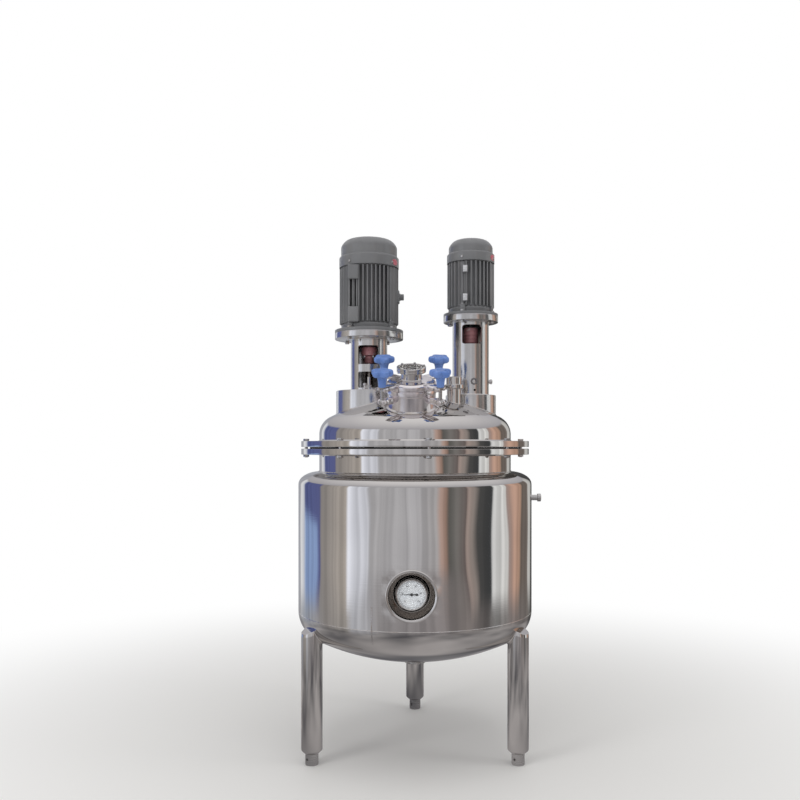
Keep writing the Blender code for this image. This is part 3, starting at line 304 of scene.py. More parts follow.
jacket_top = []
for i in range(13):
    turn = pi / 2 * (1 - i / 12)
    jacket_top.append((0.3503 + 0.0747 * cos(turn), 0.955 + 0.045 * sin(turn)))
seam = [(JACKET_R, 0.5013), (JACKET_R - 0.0009, 0.5005), (JACKET_R - 0.0009, 0.4996), (JACKET_R, 0.4988)]
jacket_dish = dished(JACKET_R, JACKET_KNUCKLE, JACKET_CROWN, SEAM_Z, -1, OUTLET_R)
jacket_dish = [spot for spot in jacket_dish if spot[1] < 0.4985]
jacket_skin = sheet_grid(jacket_top + seam + jacket_dish, 240)
gauge_axis = at(GAUGE_X, -JACKET_R, GAUGE_Z) @ LAID_X
nozzle_high = at(JACKET_R, 0.0, 0.903) @ LAID_Y
nozzle_low = spun(radians(135)) @ at(JACKET_R, 0.0, 0.56) @ LAID_Y
hole_in(jacket_skin, gauge_axis, 0.1, POCKET_R + 0.0008)
hole_in(jacket_skin, nozzle_high, 0.1, NOZZLE_HOLE_R)
hole_in(jacket_skin, nozzle_low, 0.1, NOZZLE_HOLE_R)
fit("jacket_sheet", [walled(jacket_skin, JACKET_WALL)], polished_sheet, ["jacket"])


# Flange gasket. A flat ring of black rubber squeezed between the two bolting flanges, a little
# set back from their edges, so that it shows as a dark line.
GASKET_DUST = (60.0, 4.0)


def coloured(name, first, second, dye, gloss, sheen=None, bumps=(), metallic=0.0, coat=0.0):
    """A finish of two blended colours. Dye, sheen and bumps each name a grain by its scale, detail
    and stretch: dye is for the colour, sheen for the gloss, and a bump has its depth beside it."""
    finish, shader = new_finish(name, metallic, coat)
    sheen = sheen or dye
    wanted = dict.fromkeys([dye, sheen] + [pattern for pattern, depth in bumps])
    grains = {pattern: grain(finish, *pattern) for pattern in wanted}
    colour = blended(finish, ranged(finish, grains[dye], 0.0, 1.0), first, second)
    feed(finish, shader.inputs["Base Color"], colour)
    feed(finish, shader.inputs["Roughness"], ranged(finish, grains[sheen], *gloss))
    if bumps:
        layers = [(grains[pattern], depth) for pattern, depth in bumps]
        feed(finish, shader.inputs["Normal"], relief(finish, *layers))
    return finish


rubber = coloured(
    "black_gasket_rubber", (0.012, 0.012, 0.013), (0.035, 0.034, 0.033), GASKET_DUST, (0.55, 0.8),
    bumps=[(GASKET_DUST, 0.0002)],
)
gasket_section = [(0.384, 1.0833, 0.001), (0.384, 1.0887, 0.001), (0.3453, 1.0887), (0.3453, 1.0833)]
fit("gasket_ring", [turned(gasket_section)], rubber, ["gasket"])


# Lid. A deep dished head pressed from stainless sheet and welded to its own flange, with holes
# for the drive seats, the hand hole and the port.
LID_LOW = 1.089
LID_TANGENT = 1.135
LID_KNUCKLE = 0.07
LID_CROWN = 0.7
LEFT_X = -0.169
RIGHT_X = 0.205
MANWAY_X = -0.012
MANWAY_Y = -0.235
PORT_X = 0.138
PORT_Y = -0.11


def crown_z(x, y):
    """Height of the top of the lid over a point."""
    rise = sqrt((LID_CROWN - LID_KNUCKLE) ** 2 - (VESSEL_R - LID_KNUCKLE) ** 2)
    return LID_TANGENT - rise + sqrt(LID_CROWN**2 - x**2 - y**2)


lean = asin(-MANWAY_Y / LID_CROWN)
manway_axis = at(MANWAY_X, MANWAY_Y, crown_z(MANWAY_X, MANWAY_Y)) @ Matrix.Rotation(lean, 4, "X")
lid_dish = dished(VESSEL_R, LID_KNUCKLE, LID_CROWN, LID_TANGENT, 1, 0.0, 20)
lid_skin = sheet_grid([(VESSEL_R, LID_LOW + 0.01)] + lid_dish, 192, 0.009)
for x, y, radius in ((LEFT_X, 0.0, 0.1), (RIGHT_X, 0.0, 0.075), (PORT_X, PORT_Y, 0.0235)):
    hole_in(lid_skin, at(x, y, 1.2), 0.2, radius)
hole_in(lid_skin, manway_axis, 0.06, 0.0805)
lid_flange = [
    (FLANGE_R, FLANGE_T, 0.0012), (VESSEL_R + 0.005, FLANGE_T), (VESSEL_R + 0.001, FLANGE_T + 0.004),
    (VESSEL_R - 0.003, FLANGE_T + 0.004), (VESSEL_R - 0.005, 0.0, 0.0008), (FLANGE_R, 0.0, 0.0012),
]
lid_shells = [walled(lid_skin, 0.005), turned(lid_flange, base=LID_LOW)]
fit("lid_head", lid_shells, polished_sheet, ["lid"])


# Weld beads. Where the neck, the seats, the port, the jacket and the bottom fitting meet the sheet,
# each joint has a thin welded bead with the faint ripple and straw tint that the torch leaves. The
# beads of the legs and the lanterns are made with them.
WELD_RIPPLE = (420.0, 1.0)
weld_metal = coloured(
    "weld_metal", (0.8, 0.79, 0.79), (0.66, 0.61, 0.56), (30.0, 3.0), (0.1, 0.26),
    sheen=WELD_RIPPLE, bumps=[(WELD_RIPPLE, 0.0004)], metallic=1.0,
)


def baked(curve):
    """The mesh of a curve, which is then done with."""
    obj = bpy.data.objects.new(curve.name, curve)
    bpy.context.scene.collection.objects.link(obj)
    bpy.context.view_layer.update()
    mesh = bpy.data.meshes.new_from_object(obj.evaluated_get(bpy.context.evaluated_depsgraph_get()))
    bpy.data.objects.remove(obj)
    bpy.data.curves.remove(curve)
    return mesh


def bead(path, size, closed=True):
    """A weld laid along a path as a thin round bead with small ripples."""
    curve = bpy.data.curves.new("bead", "CURVE")
    curve.dimensions = "3D"
    curve.bevel_depth = size
    curve.bevel_resolution = 1
    curve.use_fill_caps = not closed
    line = curve.splines.new("POLY")
    line.points.add(len(path) - 1)
    for i, (point, spot) in enumerate(zip(line.points, path)):
        point.co = (*spot, 1.0)
        point.radius = 1.0 + 0.1 * sin(i * 2.1)
    line.use_cyclic_u = closed
    return baked(curve)


def ring_path(x, y, radius, height, count=120):
    """A ring round an upright fitting that follows the surface under it."""
    path = []
    for i in range(count):
        turn = 2 * pi * i / count
        px, py = x + radius * cos(turn), y + radius * sin(turn)
        path.append((px, py, height(px, py)))
    return path


def moved(shell, matrix):
    bmesh.ops.transform(shell, matrix=matrix, verts=shell.verts)
    return shell


neck_weld = turned([(0.082, -0.0052), (0.0865, -0.0058), (0.0862, -0.003), (0.082, 0.0016)], 96)
beads = [
    bead(ring_path(LEFT_X, 0.0, 0.1205, crown_z, 200), 0.0026),
    bead(ring_path(RIGHT_X, 0.0, 0.0925, crown_z, 160), 0.0024),
    bead(ring_path(PORT_X, PORT_Y, 0.0255, crown_z, 60), 0.0018),
    moved(neck_weld, manway_axis),
    bead(ring_path(0.0, 0.0, 0.3512, lambda x, y: 1.0005, 400), 0.0022),
    bead(ring_path(0.0, 0.0, 0.029, lambda x, y: 0.3235, 60), 0.0016),
    bead(ring_path(0.0, 0.0, JACKET_R - 0.00165, lambda x, y: SEAM_Z, 500), 0.0015),
]
side_seam = [(JACKET_R + 0.0002, 0.578 - 0.0026 * i) for i in range(30)]
side_seam += [(0.3252 + 0.1 * cos(i * 0.026), SEAM_Z - 0.1 * sin(i * 0.026)) for i in range(1, 20)]
side_seam = [(-0.327 * reach, -0.945 * reach, height) for reach, height in side_seam]
beads.append(bead(side_seam, 0.0019, False))
fit("weld_beads", beads, weld_metal)


# Flange bolts. Eight hexagon bolts hold the lid down, each with a chamfered head and washer above,
# and a washer, a hexagon nut and a few turns of bare thread below.
machined = steel_finish("machined_steel", (0.62, 0.61, 0.6), (0.5, 0.49, 0.48), (0.16, 0.34), 500.0, 0.0)
BOLT_CIRCLE_R = 0.397
BOLT_TURN = radians(6.5)


def hexagon(across, low, high, chamfer=0.0012):
    """A hexagon bar cut to length with its top and bottom corners turned off."""
    shell = bmesh.new()
    middle = at(0.0, 0.0, (low + high) / 2)
    bmesh.ops.create_cone(
        shell, cap_ends=True, segments=6, radius1=across, radius2=across, depth=high - low, matrix=middle
    )
    ends = [e for e in shell.edges if abs(e.verts[0].co.z - e.verts[1].co.z) < 0.00001]
    softened(shell, ends, chamfer)
    return shell


def threaded(radius, low, high, pitch=0.0018, hollow=0.0):
    """A rod with a turned thread, its crests and roots a thread apart."""
    section = [(hollow, low), (radius - 0.0008, low)]
    turns = max(1, int((high - low) / pitch))
    for i in range(turns):
        section.append((radius, low + (i + 0.35) * (high - low) / turns))
        section.append((radius - 0.0007, low + (i + 0.85) * (high - low) / turns))
    section += [(radius - 0.001, high), (hollow, high)]
    return turned(section, 24, closed=hollow > 0.0)


def washer(inner, outer, low, high):
    return turned([(outer, low, 0.0004), (outer, high, 0.0004), (inner, high), (inner, low)], 36)


lid_top = LID_LOW + FLANGE_T
for i in range(8):
    turn = BOLT_TURN + i * pi / 4
    shells = [
        washer(0.0062, 0.0112, lid_top, lid_top + 0.0014),
        hexagon(0.0106, lid_top + 0.0014, lid_top + 0.0088),
        washer(0.0062, 0.0112, FLANGE_LOW - 0.0014, FLANGE_LOW),
        hexagon(0.0106, FLANGE_LOW - 0.0092, FLANGE_LOW - 0.0014),
        threaded(0.006, FLANGE_LOW - 0.0108, FLANGE_LOW - 0.0088),
        turned([(0.0, lid_top), (0.0058, lid_top), (0.0058, FLANGE_LOW), (0.0, FLANGE_LOW)], 24, False),
    ]
    spot = at(BOLT_CIRCLE_R * sin(turn), -BOLT_CIRCLE_R * cos(turn)) @ spun(turn)
    fit(f"lid_bolt_{i + 1}", shells, machined, [f"flange_bolt_{i + 1}"], spot=spot)


# Legs. Three lengths of polished pipe with sloping caps, fitted and welded under the rounded edge
# of the jacket, each with a necked-in foot end that takes a screwed foot.
LEG_R = 0.0365
LEG_REACH = 0.409
LEG_STRAIGHT = 0.3
LEG_TOP = 0.466
CAP_SLOPE = 0.45
LEGS = (("left", radians(-60)), ("right", radians(60)), ("rear", radians(180)))


def jacket_under(reach):
    """Height of the jacket's outside below its seam, at a distance from the middle."""
    inner, crown = JACKET_R - JACKET_KNUCKLE, JACKET_CROWN - JACKET_KNUCKLE
    if reach >= JACKET_R:
        return 1.0
    if reach > JACKET_CROWN * inner / crown:
        return SEAM_Z - sqrt(JACKET_KNUCKLE**2 - (reach - inner) ** 2)
    return SEAM_Z - sqrt(JACKET_CROWN**2 - reach**2) + sqrt(crown**2 - inner**2)


for name, angle in LEGS:
    outwards = Vector((sin(angle), -cos(angle), 0.0))
    spot = Matrix.Translation(outwards * LEG_REACH) @ spun(angle - pi / 2)
    section = [(0.0, 0.0412), (0.02, 0.0412), (0.0262, 0.0406, 0.001), (LEG_R, 0.05, 0.003)]
    section += [(LEG_R, LEG_STRAIGHT + 0.01 * i) for i in range(16)]
    section += [(LEG_R, LEG_TOP, 0.0016)]
    section += [(LEG_R * (1 - i / 10), LEG_TOP) for i in range(1, 11)]
    leg = moved(turned(section, 96, closed=False), spot)
    for vert in leg.verts:
        if vert.co.z > LEG_STRAIGHT:
            along = vert.co.dot(outwards) - LEG_REACH
            share = (vert.co.z - LEG_STRAIGHT) / (LEG_TOP - LEG_STRAIGHT)
            under = jacket_under(hypot(vert.co.x, vert.co.y)) + 0.004
            top = min(LEG_TOP - CAP_SLOPE * along, under)
            vert.co.z = LEG_STRAIGHT + share * (top - LEG_STRAIGHT)
    fit(f"leg_pipe_{name}", [leg], polished_sheet, [f"leg_{name}"])
    weld_path = []
    for i in range(200):
        turn = 2 * pi * i / 200
        point = spot @ Vector(((LEG_R + 0.0002) * cos(turn), (LEG_R + 0.0002) * sin(turn), 0.0))
        meet = jacket_under(hypot(point.x, point.y))
        if meet < LEG_TOP - CAP_SLOPE * LEG_R * cos(turn):
            weld_path.append((point.x, point.y, meet))
    fit(f"leg_weld_{name}", [bead(weld_path, 0.0028, False)], weld_metal)


# Feet. Turned steel feet that screw into the legs to level the tank, each with a cross hole for
# the bar that turns it.
for name, angle in LEGS:
    foot = sheet_grid([(0.0215, 0.0), (0.0225, 0.001), (0.0225, 0.0385), (0.0213, 0.0397)], 96, 0.0016)
    across = at(0.0, 0.0, 0.021) @ spun(radians(-40)) @ LAID_X
    rim = [e for e in hole_in(foot, across, 0.1, 0.004) if 0.005 < e.verts[0].co.z < 0.035]
    bmesh.ops.bridge_loops(foot, edges=rim)
    bmesh.ops.holes_fill(foot, edges=[e for e in foot.edges if e.is_boundary], sides=0)
    bmesh.ops.recalc_face_normals(foot, faces=foot.faces)
    shells = [foot, threaded(0.0098, 0.039, 0.062, 0.002)]
    spot, body = at(LEG_REACH * sin(angle), -LEG_REACH * cos(angle)), f"levelling_foot_{name}"
    fit(f"screwed_foot_{name}", shells, machined, [f"foot_{name}"], body, spot)


# Dial gauge. A stainless case with a rolled bezel at the bottom of a spun conical pocket whose
# bright lip is welded into the front of the jacket. Its stem runs back into the vessel.
pocket_section = [
    (0.0812, 0.0058, 0.0014), (0.085, 0.0036, 0.0016), (0.0848, 0.0006, 0.0008), (0.08, 0.0004),
    (0.08, -0.016), (0.056, -0.058, 0.002), (0.0056, -0.058), (0.0056, -0.055),
    (0.0535, -0.055, 0.002), (0.0745, -0.014, 0.002), (0.0748, 0.0026, 0.0014),
]
mirror_steel = steel_finish(
    "mirror_steel", (0.72, 0.7, 0.68), (0.64, 0.62, 0.6), (0.03, 0.09), 200.0, 0.0002
)
pocket = [turned(pocket_section)]
fit("gauge_recess", pocket, mirror_steel, ["gauge_pocket"], spot=gauge_axis)
DIAL_Z = -0.031
case_section = [
    (0.0, -0.002), (0.046, -0.002), (0.046, 0.0085), (0.0474, 0.0098, 0.0007), (0.049, 0.01, 0.001),
    (0.05, 0.006, 0.001), (0.05, 0.003), (0.0488, 0.0025), (0.0488, -0.016, 0.001),
    (0.05, -0.018, 0.0008), (0.013, -0.018), (0.013, -0.02), (0.005, -0.02),
    (0.005, -0.128), (0.0, -0.128),
]
case = [turned(case_section, closed=False, base=DIAL_Z)]
fit("gauge_body", case, mirror_steel, ["gauge_case"], spot=gauge_axis)

dial_white = coloured("printed_dial", (0.93, 0.95, 0.98), (0.87, 0.9, 0.95), (40.0, 3.0), (0.3, 0.45))
face_section = [(0.0, -0.0016), (0.0456, -0.0016), (0.0456, 0.0), (0.0, 0.0)]
face = [turned(face_section, closed=False, base=DIAL_Z)]
fit("gauge_face", face, dial_white, ["dial_face"], spot=gauge_axis)

ink = coloured("dial_ink", (0.015, 0.015, 0.018), (0.035, 0.035, 0.04), (300.0, 2.0), (0.35, 0.5))


def bar(size, middle, turn=0.0, soft=0.0, steps=2):
    """A square-cornered or soft-edged bar, turned about Z and then set in its place."""
    shell = bmesh.new()
    bmesh.ops.create_cube(shell, size=1.0)
    bmesh.ops.scale(shell, vec=size, verts=shell.verts)
    if soft:
        softened(shell, shell.edges[:], soft, steps)
    bmesh.ops.translate(shell, vec=middle, verts=shell.verts)
    bmesh.ops.rotate(shell, matrix=Matrix.Rotation(turn, 3, "Z"), verts=shell.verts)
    return shell


def numeral(text, size, middle):
    """A printed figure, raised as thin as its ink."""
    curve = bpy.data.curves.new("figure", "FONT")
    curve.body = text
    curve.size = size
    curve.align_x = "CENTER"
    curve.align_y = "CENTER"
    curve.extrude = 0.00004
    curve.resolution_u = 3
    mesh = baked(curve)
    mesh.transform(Matrix.Translation(middle))
    return mesh


INK_Z = DIAL_Z + 0.0001
SCALE_START, SCALE_SPAN = 225, 270
marks = []
for i in range(51):
    long, wide = (0.0052, 0.0009) if i % 10 == 0 else (0.0026, 0.0004)
    turn = radians(SCALE_START - SCALE_SPAN * i / 50)
    marks.append(bar((long, wide, 0.0001), (0.0415 - long / 2, 0.0, INK_Z), turn))
marks.append(turned([(0.0416, DIAL_Z), (0.042, DIAL_Z), (0.042, INK_Z), (0.0416, INK_Z)], 120))
for i in range(6):
    turn = radians(SCALE_START - SCALE_SPAN * i / 5)
    marks.append(numeral(str(20 * i), 0.0085, (0.0305 * cos(turn), 0.0305 * sin(turn), INK_Z)))
fit("dial_marks", marks, ink, spot=gauge_axis)

NEEDLE_Z = DIAL_Z + 0.0015
blade = bmesh.new()
outline = [(-0.036, 0.0003), (-0.01, 0.0011), (0.01, 0.0013), (0.0125, 0.0028), (0.019, 0.003)]
outline += [(0.021, 0.0018)]
outline += [(x, -y) for x, y in outline[::-1]]
blade.faces.new([blade.verts.new((x, y, NEEDLE_Z)) for x, y in outline])
raised = bmesh.ops.extrude_face_region(blade, geom=blade.faces[:])
lifted = [item for item in raised["geom"] if isinstance(item, bmesh.types.BMVert)]
bmesh.ops.translate(blade, vec=(0.0, 0.0, 0.0008), verts=lifted)
bmesh.ops.recalc_face_normals(blade, faces=blade.faces)
hub_section = [(0.0, -0.001), (0.0045, -0.001), (0.0045, 0.0016, 0.0006), (0.0, 0.0022)]
needle = [blade, turned(hub_section, 32, False, NEEDLE_Z)]
fit("gauge_needle", needle, ink, ["dial_needle"], "gauge_pointer", gauge_axis)

pane = coloured("gauge_glass", (0.97, 0.985, 0.985), (0.93, 0.95, 0.95), (25.0, 4.0), (0.0, 0.05))
pane_shader = pane.node_tree.nodes["Principled BSDF"]
pane_shader.inputs["Transmission Weight"].default_value = 1.0
pane_shader.inputs["IOR"].default_value = 1.45
pane_shader.inputs["Alpha"].default_value = 0.3
pane_section = [(0.0, 0.007), (0.0456, 0.007, 0.0004), (0.0456, 0.009, 0.0004), (0.0, 0.009)]
glass = [turned(pane_section, closed=False, base=DIAL_Z)]
fit("gauge_pane", glass, pane, ["dial_glass"], spot=gauge_axis)


# Jacket nozzles. Two threaded steel connections welded into the jacket, one high on the right and
# one low at the back left, each with a weld collar and a threaded collar at its mouth.
for name, axis in (("high", nozzle_high), ("low", nozzle_low)):
    collar = [(0.0142, 0.0106, 0.0006), (0.0145, 0.0016, 0.001), (0.0112, -0.001)]
    if name == "high":
        collar = [(0.01, 0.001), (0.0145, 0.0008), (0.0145, -0.001)]
    section = [
        (0.007, 0.038), (0.0122, 0.038, 0.0006), (0.0145, 0.0368, 0.0006), (0.0145, 0.0256, 0.0006),
        (0.0122, 0.0248, 0.0006), (0.01, 0.0248, 0.0004), (0.01, 0.011, 0.0004), *collar,
        (0.01, -0.012), (0.007, -0.012),
    ]
    nozzle, node = [turned(section, 64)], f"jacket_nozzle_{name}"
    fit(f"nozzle_{name}", nozzle, machined, [node], spot=axis)


# Bottom outlet. A short pipe from the lowest point of the vessel down through the jacket, with a
# flat ferrule at its end for a clamped valve.
vessel_low = vessel_dish[-1][1]
outlet_section = [
    (0.028, vessel_low + 0.005), (0.028, 0.311), (0.029, 0.308, 0.001), (0.038, 0.305, 0.0008),
    (0.038, 0.298, 0.0006), (0.03, 0.298), (0.0292, 0.299), (0.0272, 0.299), (0.0264, 0.298),
    (0.024, 0.298), (0.024, vessel_low + 0.005),
]
fit("outlet_pipe", [turned(outlet_section, 72)], machined, ["bottom_outlet"])


# Drive seats. Two thick rings welded on the lid and faced flat on top. The left one carries a small
# greaser at its front.
brushed_tube = steel_finish(
    "brushed_tube", (0.72, 0.71, 0.7), (0.62, 0.61, 0.6), (0.13, 0.22), 400.0, 0.0003
)
DRIVES = {"left": LEFT_X, "right": RIGHT_X}
SEATS = {"left": (0.12, 1.294), "right": (0.092, 1.278)}
for side, x in DRIVES.items():
    radius, top = SEATS[side]
    low = crown_z(abs(x) + radius, 0.0) - 0.012
    shells = [turned([(radius, top, 0.0016), (radius, low), (0.0505, low), (0.0505, top, 0.001)], 120)]
    if side == "left":
        greaser = [
            (0.0, 1.293), (0.008, 1.293), (0.008, 1.301, 0.0008), (0.005, 1.302), (0.0044, 1.308),
            (0.0072, 1.31, 0.0006), (0.0072, 1.315, 0.0012), (0.0035, 1.318, 0.0008), (0.0, 1.318),
        ]
        shells.append(moved(turned(greaser, 32, False), at(-0.01, -0.094)))
    fit(f"{side}_seat_ring", shells, brushed_tube, [f"{side}_seat"], spot=at(x))


# Lanterns. Stainless tubes that hold the motors up over the seals, with round-cornered windows at
# the front for the couplings and a thick turned plate at the top for the motor's flange. The right
# one has a dull plug and a drain hole at its front and a small union at its side.
dull_plug = steel_finish("dull_plug", (0.34, 0.33, 0.33), (0.24, 0.23, 0.235), (0.34, 0.48), 500.0, 0.0)
LANTERN_R = 0.0665
LANTERNS = {
    "left": {"foot": 1.2943, "plate": 1.483, "plate_r": 0.125, "windows": ((1.303, 1.361), (1.388, 1.456))},
    "right": {"foot": 1.2783, "plate": 1.545, "plate_r": 0.1, "windows": ((1.462, 1.531),)},
}
for side, x in DRIVES.items():
    foot, plate, plate_r, windows = LANTERNS[side].values()
    half, corner = (0.036, 0.006) if side == "left" else (0.035, 0.01)
    tube = sheet_grid([(LANTERN_R, foot), (LANTERN_R, plate + 0.001)], 200, 0.0022)
    for low, high in windows:
        window = at(0.0, -LANTERN_R, (low + high) / 2) @ LAID_X
        hole_in(tube, window, 0.05, corner, half, (high - low) / 2)
    if side == "right":
        hole_in(tube, at(0.01, -LANTERN_R, 1.2945) @ LAID_X, 0.03, 0.0042)
    ring = [(0.0605, 0.022), (plate_r, 0.022, 0.0012), (plate_r, 0.0, 0.0012), (0.0605, 0.0)]
    shells = [walled(tube, 0.006), turned(ring, 144, base=plate)]
    if side == "right":
        plug = [(0.0, 0.06), (0.0125, 0.06), (0.0125, 0.07, 0.001), (0.0112, 0.0712, 0.0006)]
        plug += [(0.007, 0.0712, 0.0006), (0.0064, 0.064), (0.0, 0.0636)]
        plug_axis = at(x) @ at(0.008, 0.0, 1.326) @ LAID_X
        fit("lantern_plug", [turned(plug, 48, False)], dull_plug, spot=plug_axis)
        union = [(0.0, 0.06), (0.007, 0.06), (0.007, 0.07), (0.009, 0.0705, 0.0008)]
        union += [(0.009, 0.078, 0.0012), (0.0055, 0.0795, 0.0006), (0.0, 0.0795)]
        shells.append(moved(turned(union, 40, False), at(0.0, 0.0, 1.329) @ LAID_Y))
    fit(f"{side}_lantern_tube", shells, brushed_tube, [f"{side}_lantern"], spot=at(x))
    rings = []
    for height in (foot + 0.0012, plate - 0.001):
        path = ring_path(x, 0.0, LANTERN_R + 0.0008, lambda px, py: height, 110)
        rings.append(bead(path, 0.0019))
    fit(f"{side}_lantern_welds", rings, weld_metal)


# Seals, couplings and shafts. In each lantern a flanged seal housing stands on the seat, a polished
# shaft comes up through it, and a maroon two-part coupling with bright bolts joins it to the motor.
MAROON_WEAR = (55.0, 5.0)
maroon = coloured(
    "maroon_enamel", (0.6, 0.26, 0.28), (0.43, 0.19, 0.205), (14.0, 3.0), (0.28, 0.48),
    bumps=[(MAROON_WEAR, 0.0003)], coat=0.15,
)
maroon_dye = maroon.node_tree.nodes["Principled BSDF"].inputs["Base Color"]
maroon_chips = ranged(maroon, grain(maroon, *MAROON_WEAR), 0.0, 1.0, 0.62, 0.72)
feed(maroon, maroon_dye, blended(maroon, maroon_chips, maroon_dye.links[0].from_socket, (0.56, 0.44, 0.43)))
SHAFT_R = 0.0175
BORE_R = 0.0183
TURNING = {
    "left": {"low": 1.395, "split": 1.424, "high": 1.456, "r_low": 0.018, "r_high": 0.0285,
             "seal_top": 1.316, "seal_r": 0.028, "bottom": 0.48, "end_r": 0.012, "bolt_r": 0.0235},
    "right": {"low": 1.468, "split": 1.497, "high": 1.526, "r_low": 0.027, "r_high": 0.027,
              "seal_top": 1.35, "seal_r": 0.034, "bottom": 0.49, "end_r": 0.0095, "bolt_r": 0.0245},
}
for side, x in DRIVES.items():
    low, split, high, r_low, r_high, seal_top, seal_r, bottom, end_r, bolt_r = TURNING[side].values()
    foot = LANTERNS[side]["foot"]
    body = f"{side}_agitator"
    section = [
        (BORE_R, seal_top), (seal_r, seal_top, 0.001), (seal_r, foot + 0.01, 0.001),
        (0.0583, foot + 0.008, 0.0008), (0.0583, foot), (0.049, foot), (0.049, foot - 0.05),
        (BORE_R, foot - 0.05),
    ]
    shells = [turned(section, 72)]
    for place in four_round(0.045):
        shells.append(moved(hexagon(0.006, foot + 0.0078, foot + 0.0125, 0.0006), place))
    fit(f"{side}_seal_body", shells, machined, [f"{side}_seal_housing"], spot=at(x))

    section = [
        (0.0113, split - 0.0003), (r_low, split - 0.0003, 0.001), (r_low, split - 0.012),
        (r_low - 0.0012, split - 0.0128), (r_low - 0.0012, split - 0.0148), (r_low, split - 0.0156),
        (r_low, low + 0.003, 0.001), (r_low - 0.003, low), (0.0113, low),
    ]
    half, node = [turned(section, 72)], f"{side}_coupling_low"
    fit(f"{side}_coupling_foot", half, maroon, [node], body, at(x))
    section = [
        (end_r + 0.0003, high), (r_high - 0.003, high, 0.0008), (r_high, high - 0.003, 0.0008),
        (r_high, high - 0.012), (r_high - 0.0012, high - 0.013), (r_high - 0.0012, high - 0.015),
        (r_high, high - 0.016), (r_high, split + 0.0003, 0.001), (end_r + 0.0003, split + 0.0003),
    ]
    half, node = [turned(section, 72)], f"{side}_coupling_high"
    fit(f"{side}_coupling_head", half, maroon, [node], body, at(x))
    bolts = []
    under = split + 0.0001 if side == "left" else low
    for place in four_round(bolt_r):
        bolts.append(moved(hexagon(0.0046, under - 0.0075, under, 0.0006), place))
        bolts.append(moved(threaded(0.0028, under - 0.0115, under - 0.007, 0.001), place))
    fit(f"{side}_coupling_bolts", bolts, machined, (), body, at(x))

    section = [
        (0.0, bottom), (SHAFT_R, bottom, 0.0015), (SHAFT_R, low - 0.004, 0.0012),
        (0.011, low - 0.004), (0.011, split - 0.002, 0.001), (0.0, split - 0.002),
    ]
    rod, node = [turned(section, 72, False)], f"{side}_shaft"
    fit(f"{side}_shaft_rod", rod, mirror_steel, [node], body, at(x))


# Mixing tools. The toothed disc on the left shaft, the pitched-blade turbine on the right one and
# the two motor rotors with their fans keep the shapes they were drawn with.
KEPT = {
    "disperser_disc": mirror_steel, "blade_turbine": mirror_steel,
    "left_rotor": machined, "right_rotor": machined,
}
for node, finish in KEPT.items():
    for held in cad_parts[node].material_slots:
        held.material = finish


# Motors. Cast frames with four blocks of cooling fins, a flanged end shield bolted to the lantern's
# plate, mounting pads at the front left, and grey enamel over all of it. The pads of the right one
# have thin milled metal faces whose pale colour is also a painted highlight on the pads.
CAST_GRAIN = (45.0, 3.0)
enamel = coloured(
    "grey_motor_enamel", (0.15, 0.152, 0.158), (0.195, 0.196, 0.2), (6.0, 4.0), (0.28, 0.46),
    sheen=CAST_GRAIN, bumps=[(CAST_GRAIN, 0.0006), ((260.0, 2.0), 0.00012)], coat=0.25,
)
# Bare metal for the right motor's pad faces. Its pale colour paints the highlights on the pads.
MILLED_MARKS = (90.0, 3.0, (1.0, 1.0, 6.0))
pad_highlight_face = coloured(
    "pad_highlight_face", (0.72, 0.73, 0.74), (0.52, 0.53, 0.55), MILLED_MARKS, (0.3, 0.5),
    bumps=[(MILLED_MARKS, 0.0001)], metallic=0.35,
)
MOTORS = {
    "left": {"base": 1.5053, "flange_t": 0.011, "r": 0.108, "low": 1.537, "high": 1.741, "fins": 9,
             "pitch": 0.015, "plate_r": 0.125, "bolts_r": 0.1075, "space_r": 0.053, "shaft_r": 0.0126,
             "top": 1.845, "band": 0.042, "pads": ((1.687, 1.738), (1.534, 1.589)),
             "pad": (-0.07, -0.032, -0.112, -0.08), "twist": radians(8)},
    "right": {"base": 1.5673, "flange_t": 0.009, "r": 0.086, "low": 1.597, "high": 1.759, "fins": 7,
              "pitch": 0.0157, "plate_r": 0.1, "bolts_r": 0.0825, "space_r": 0.043, "shaft_r": 0.0101,
              "top": 1.845, "band": 0.036, "pads": ((1.714, 1.742), (1.611, 1.64)),
              "pad": (-0.036, -0.016, -0.0895, -0.066), "twist": radians(20)},
}
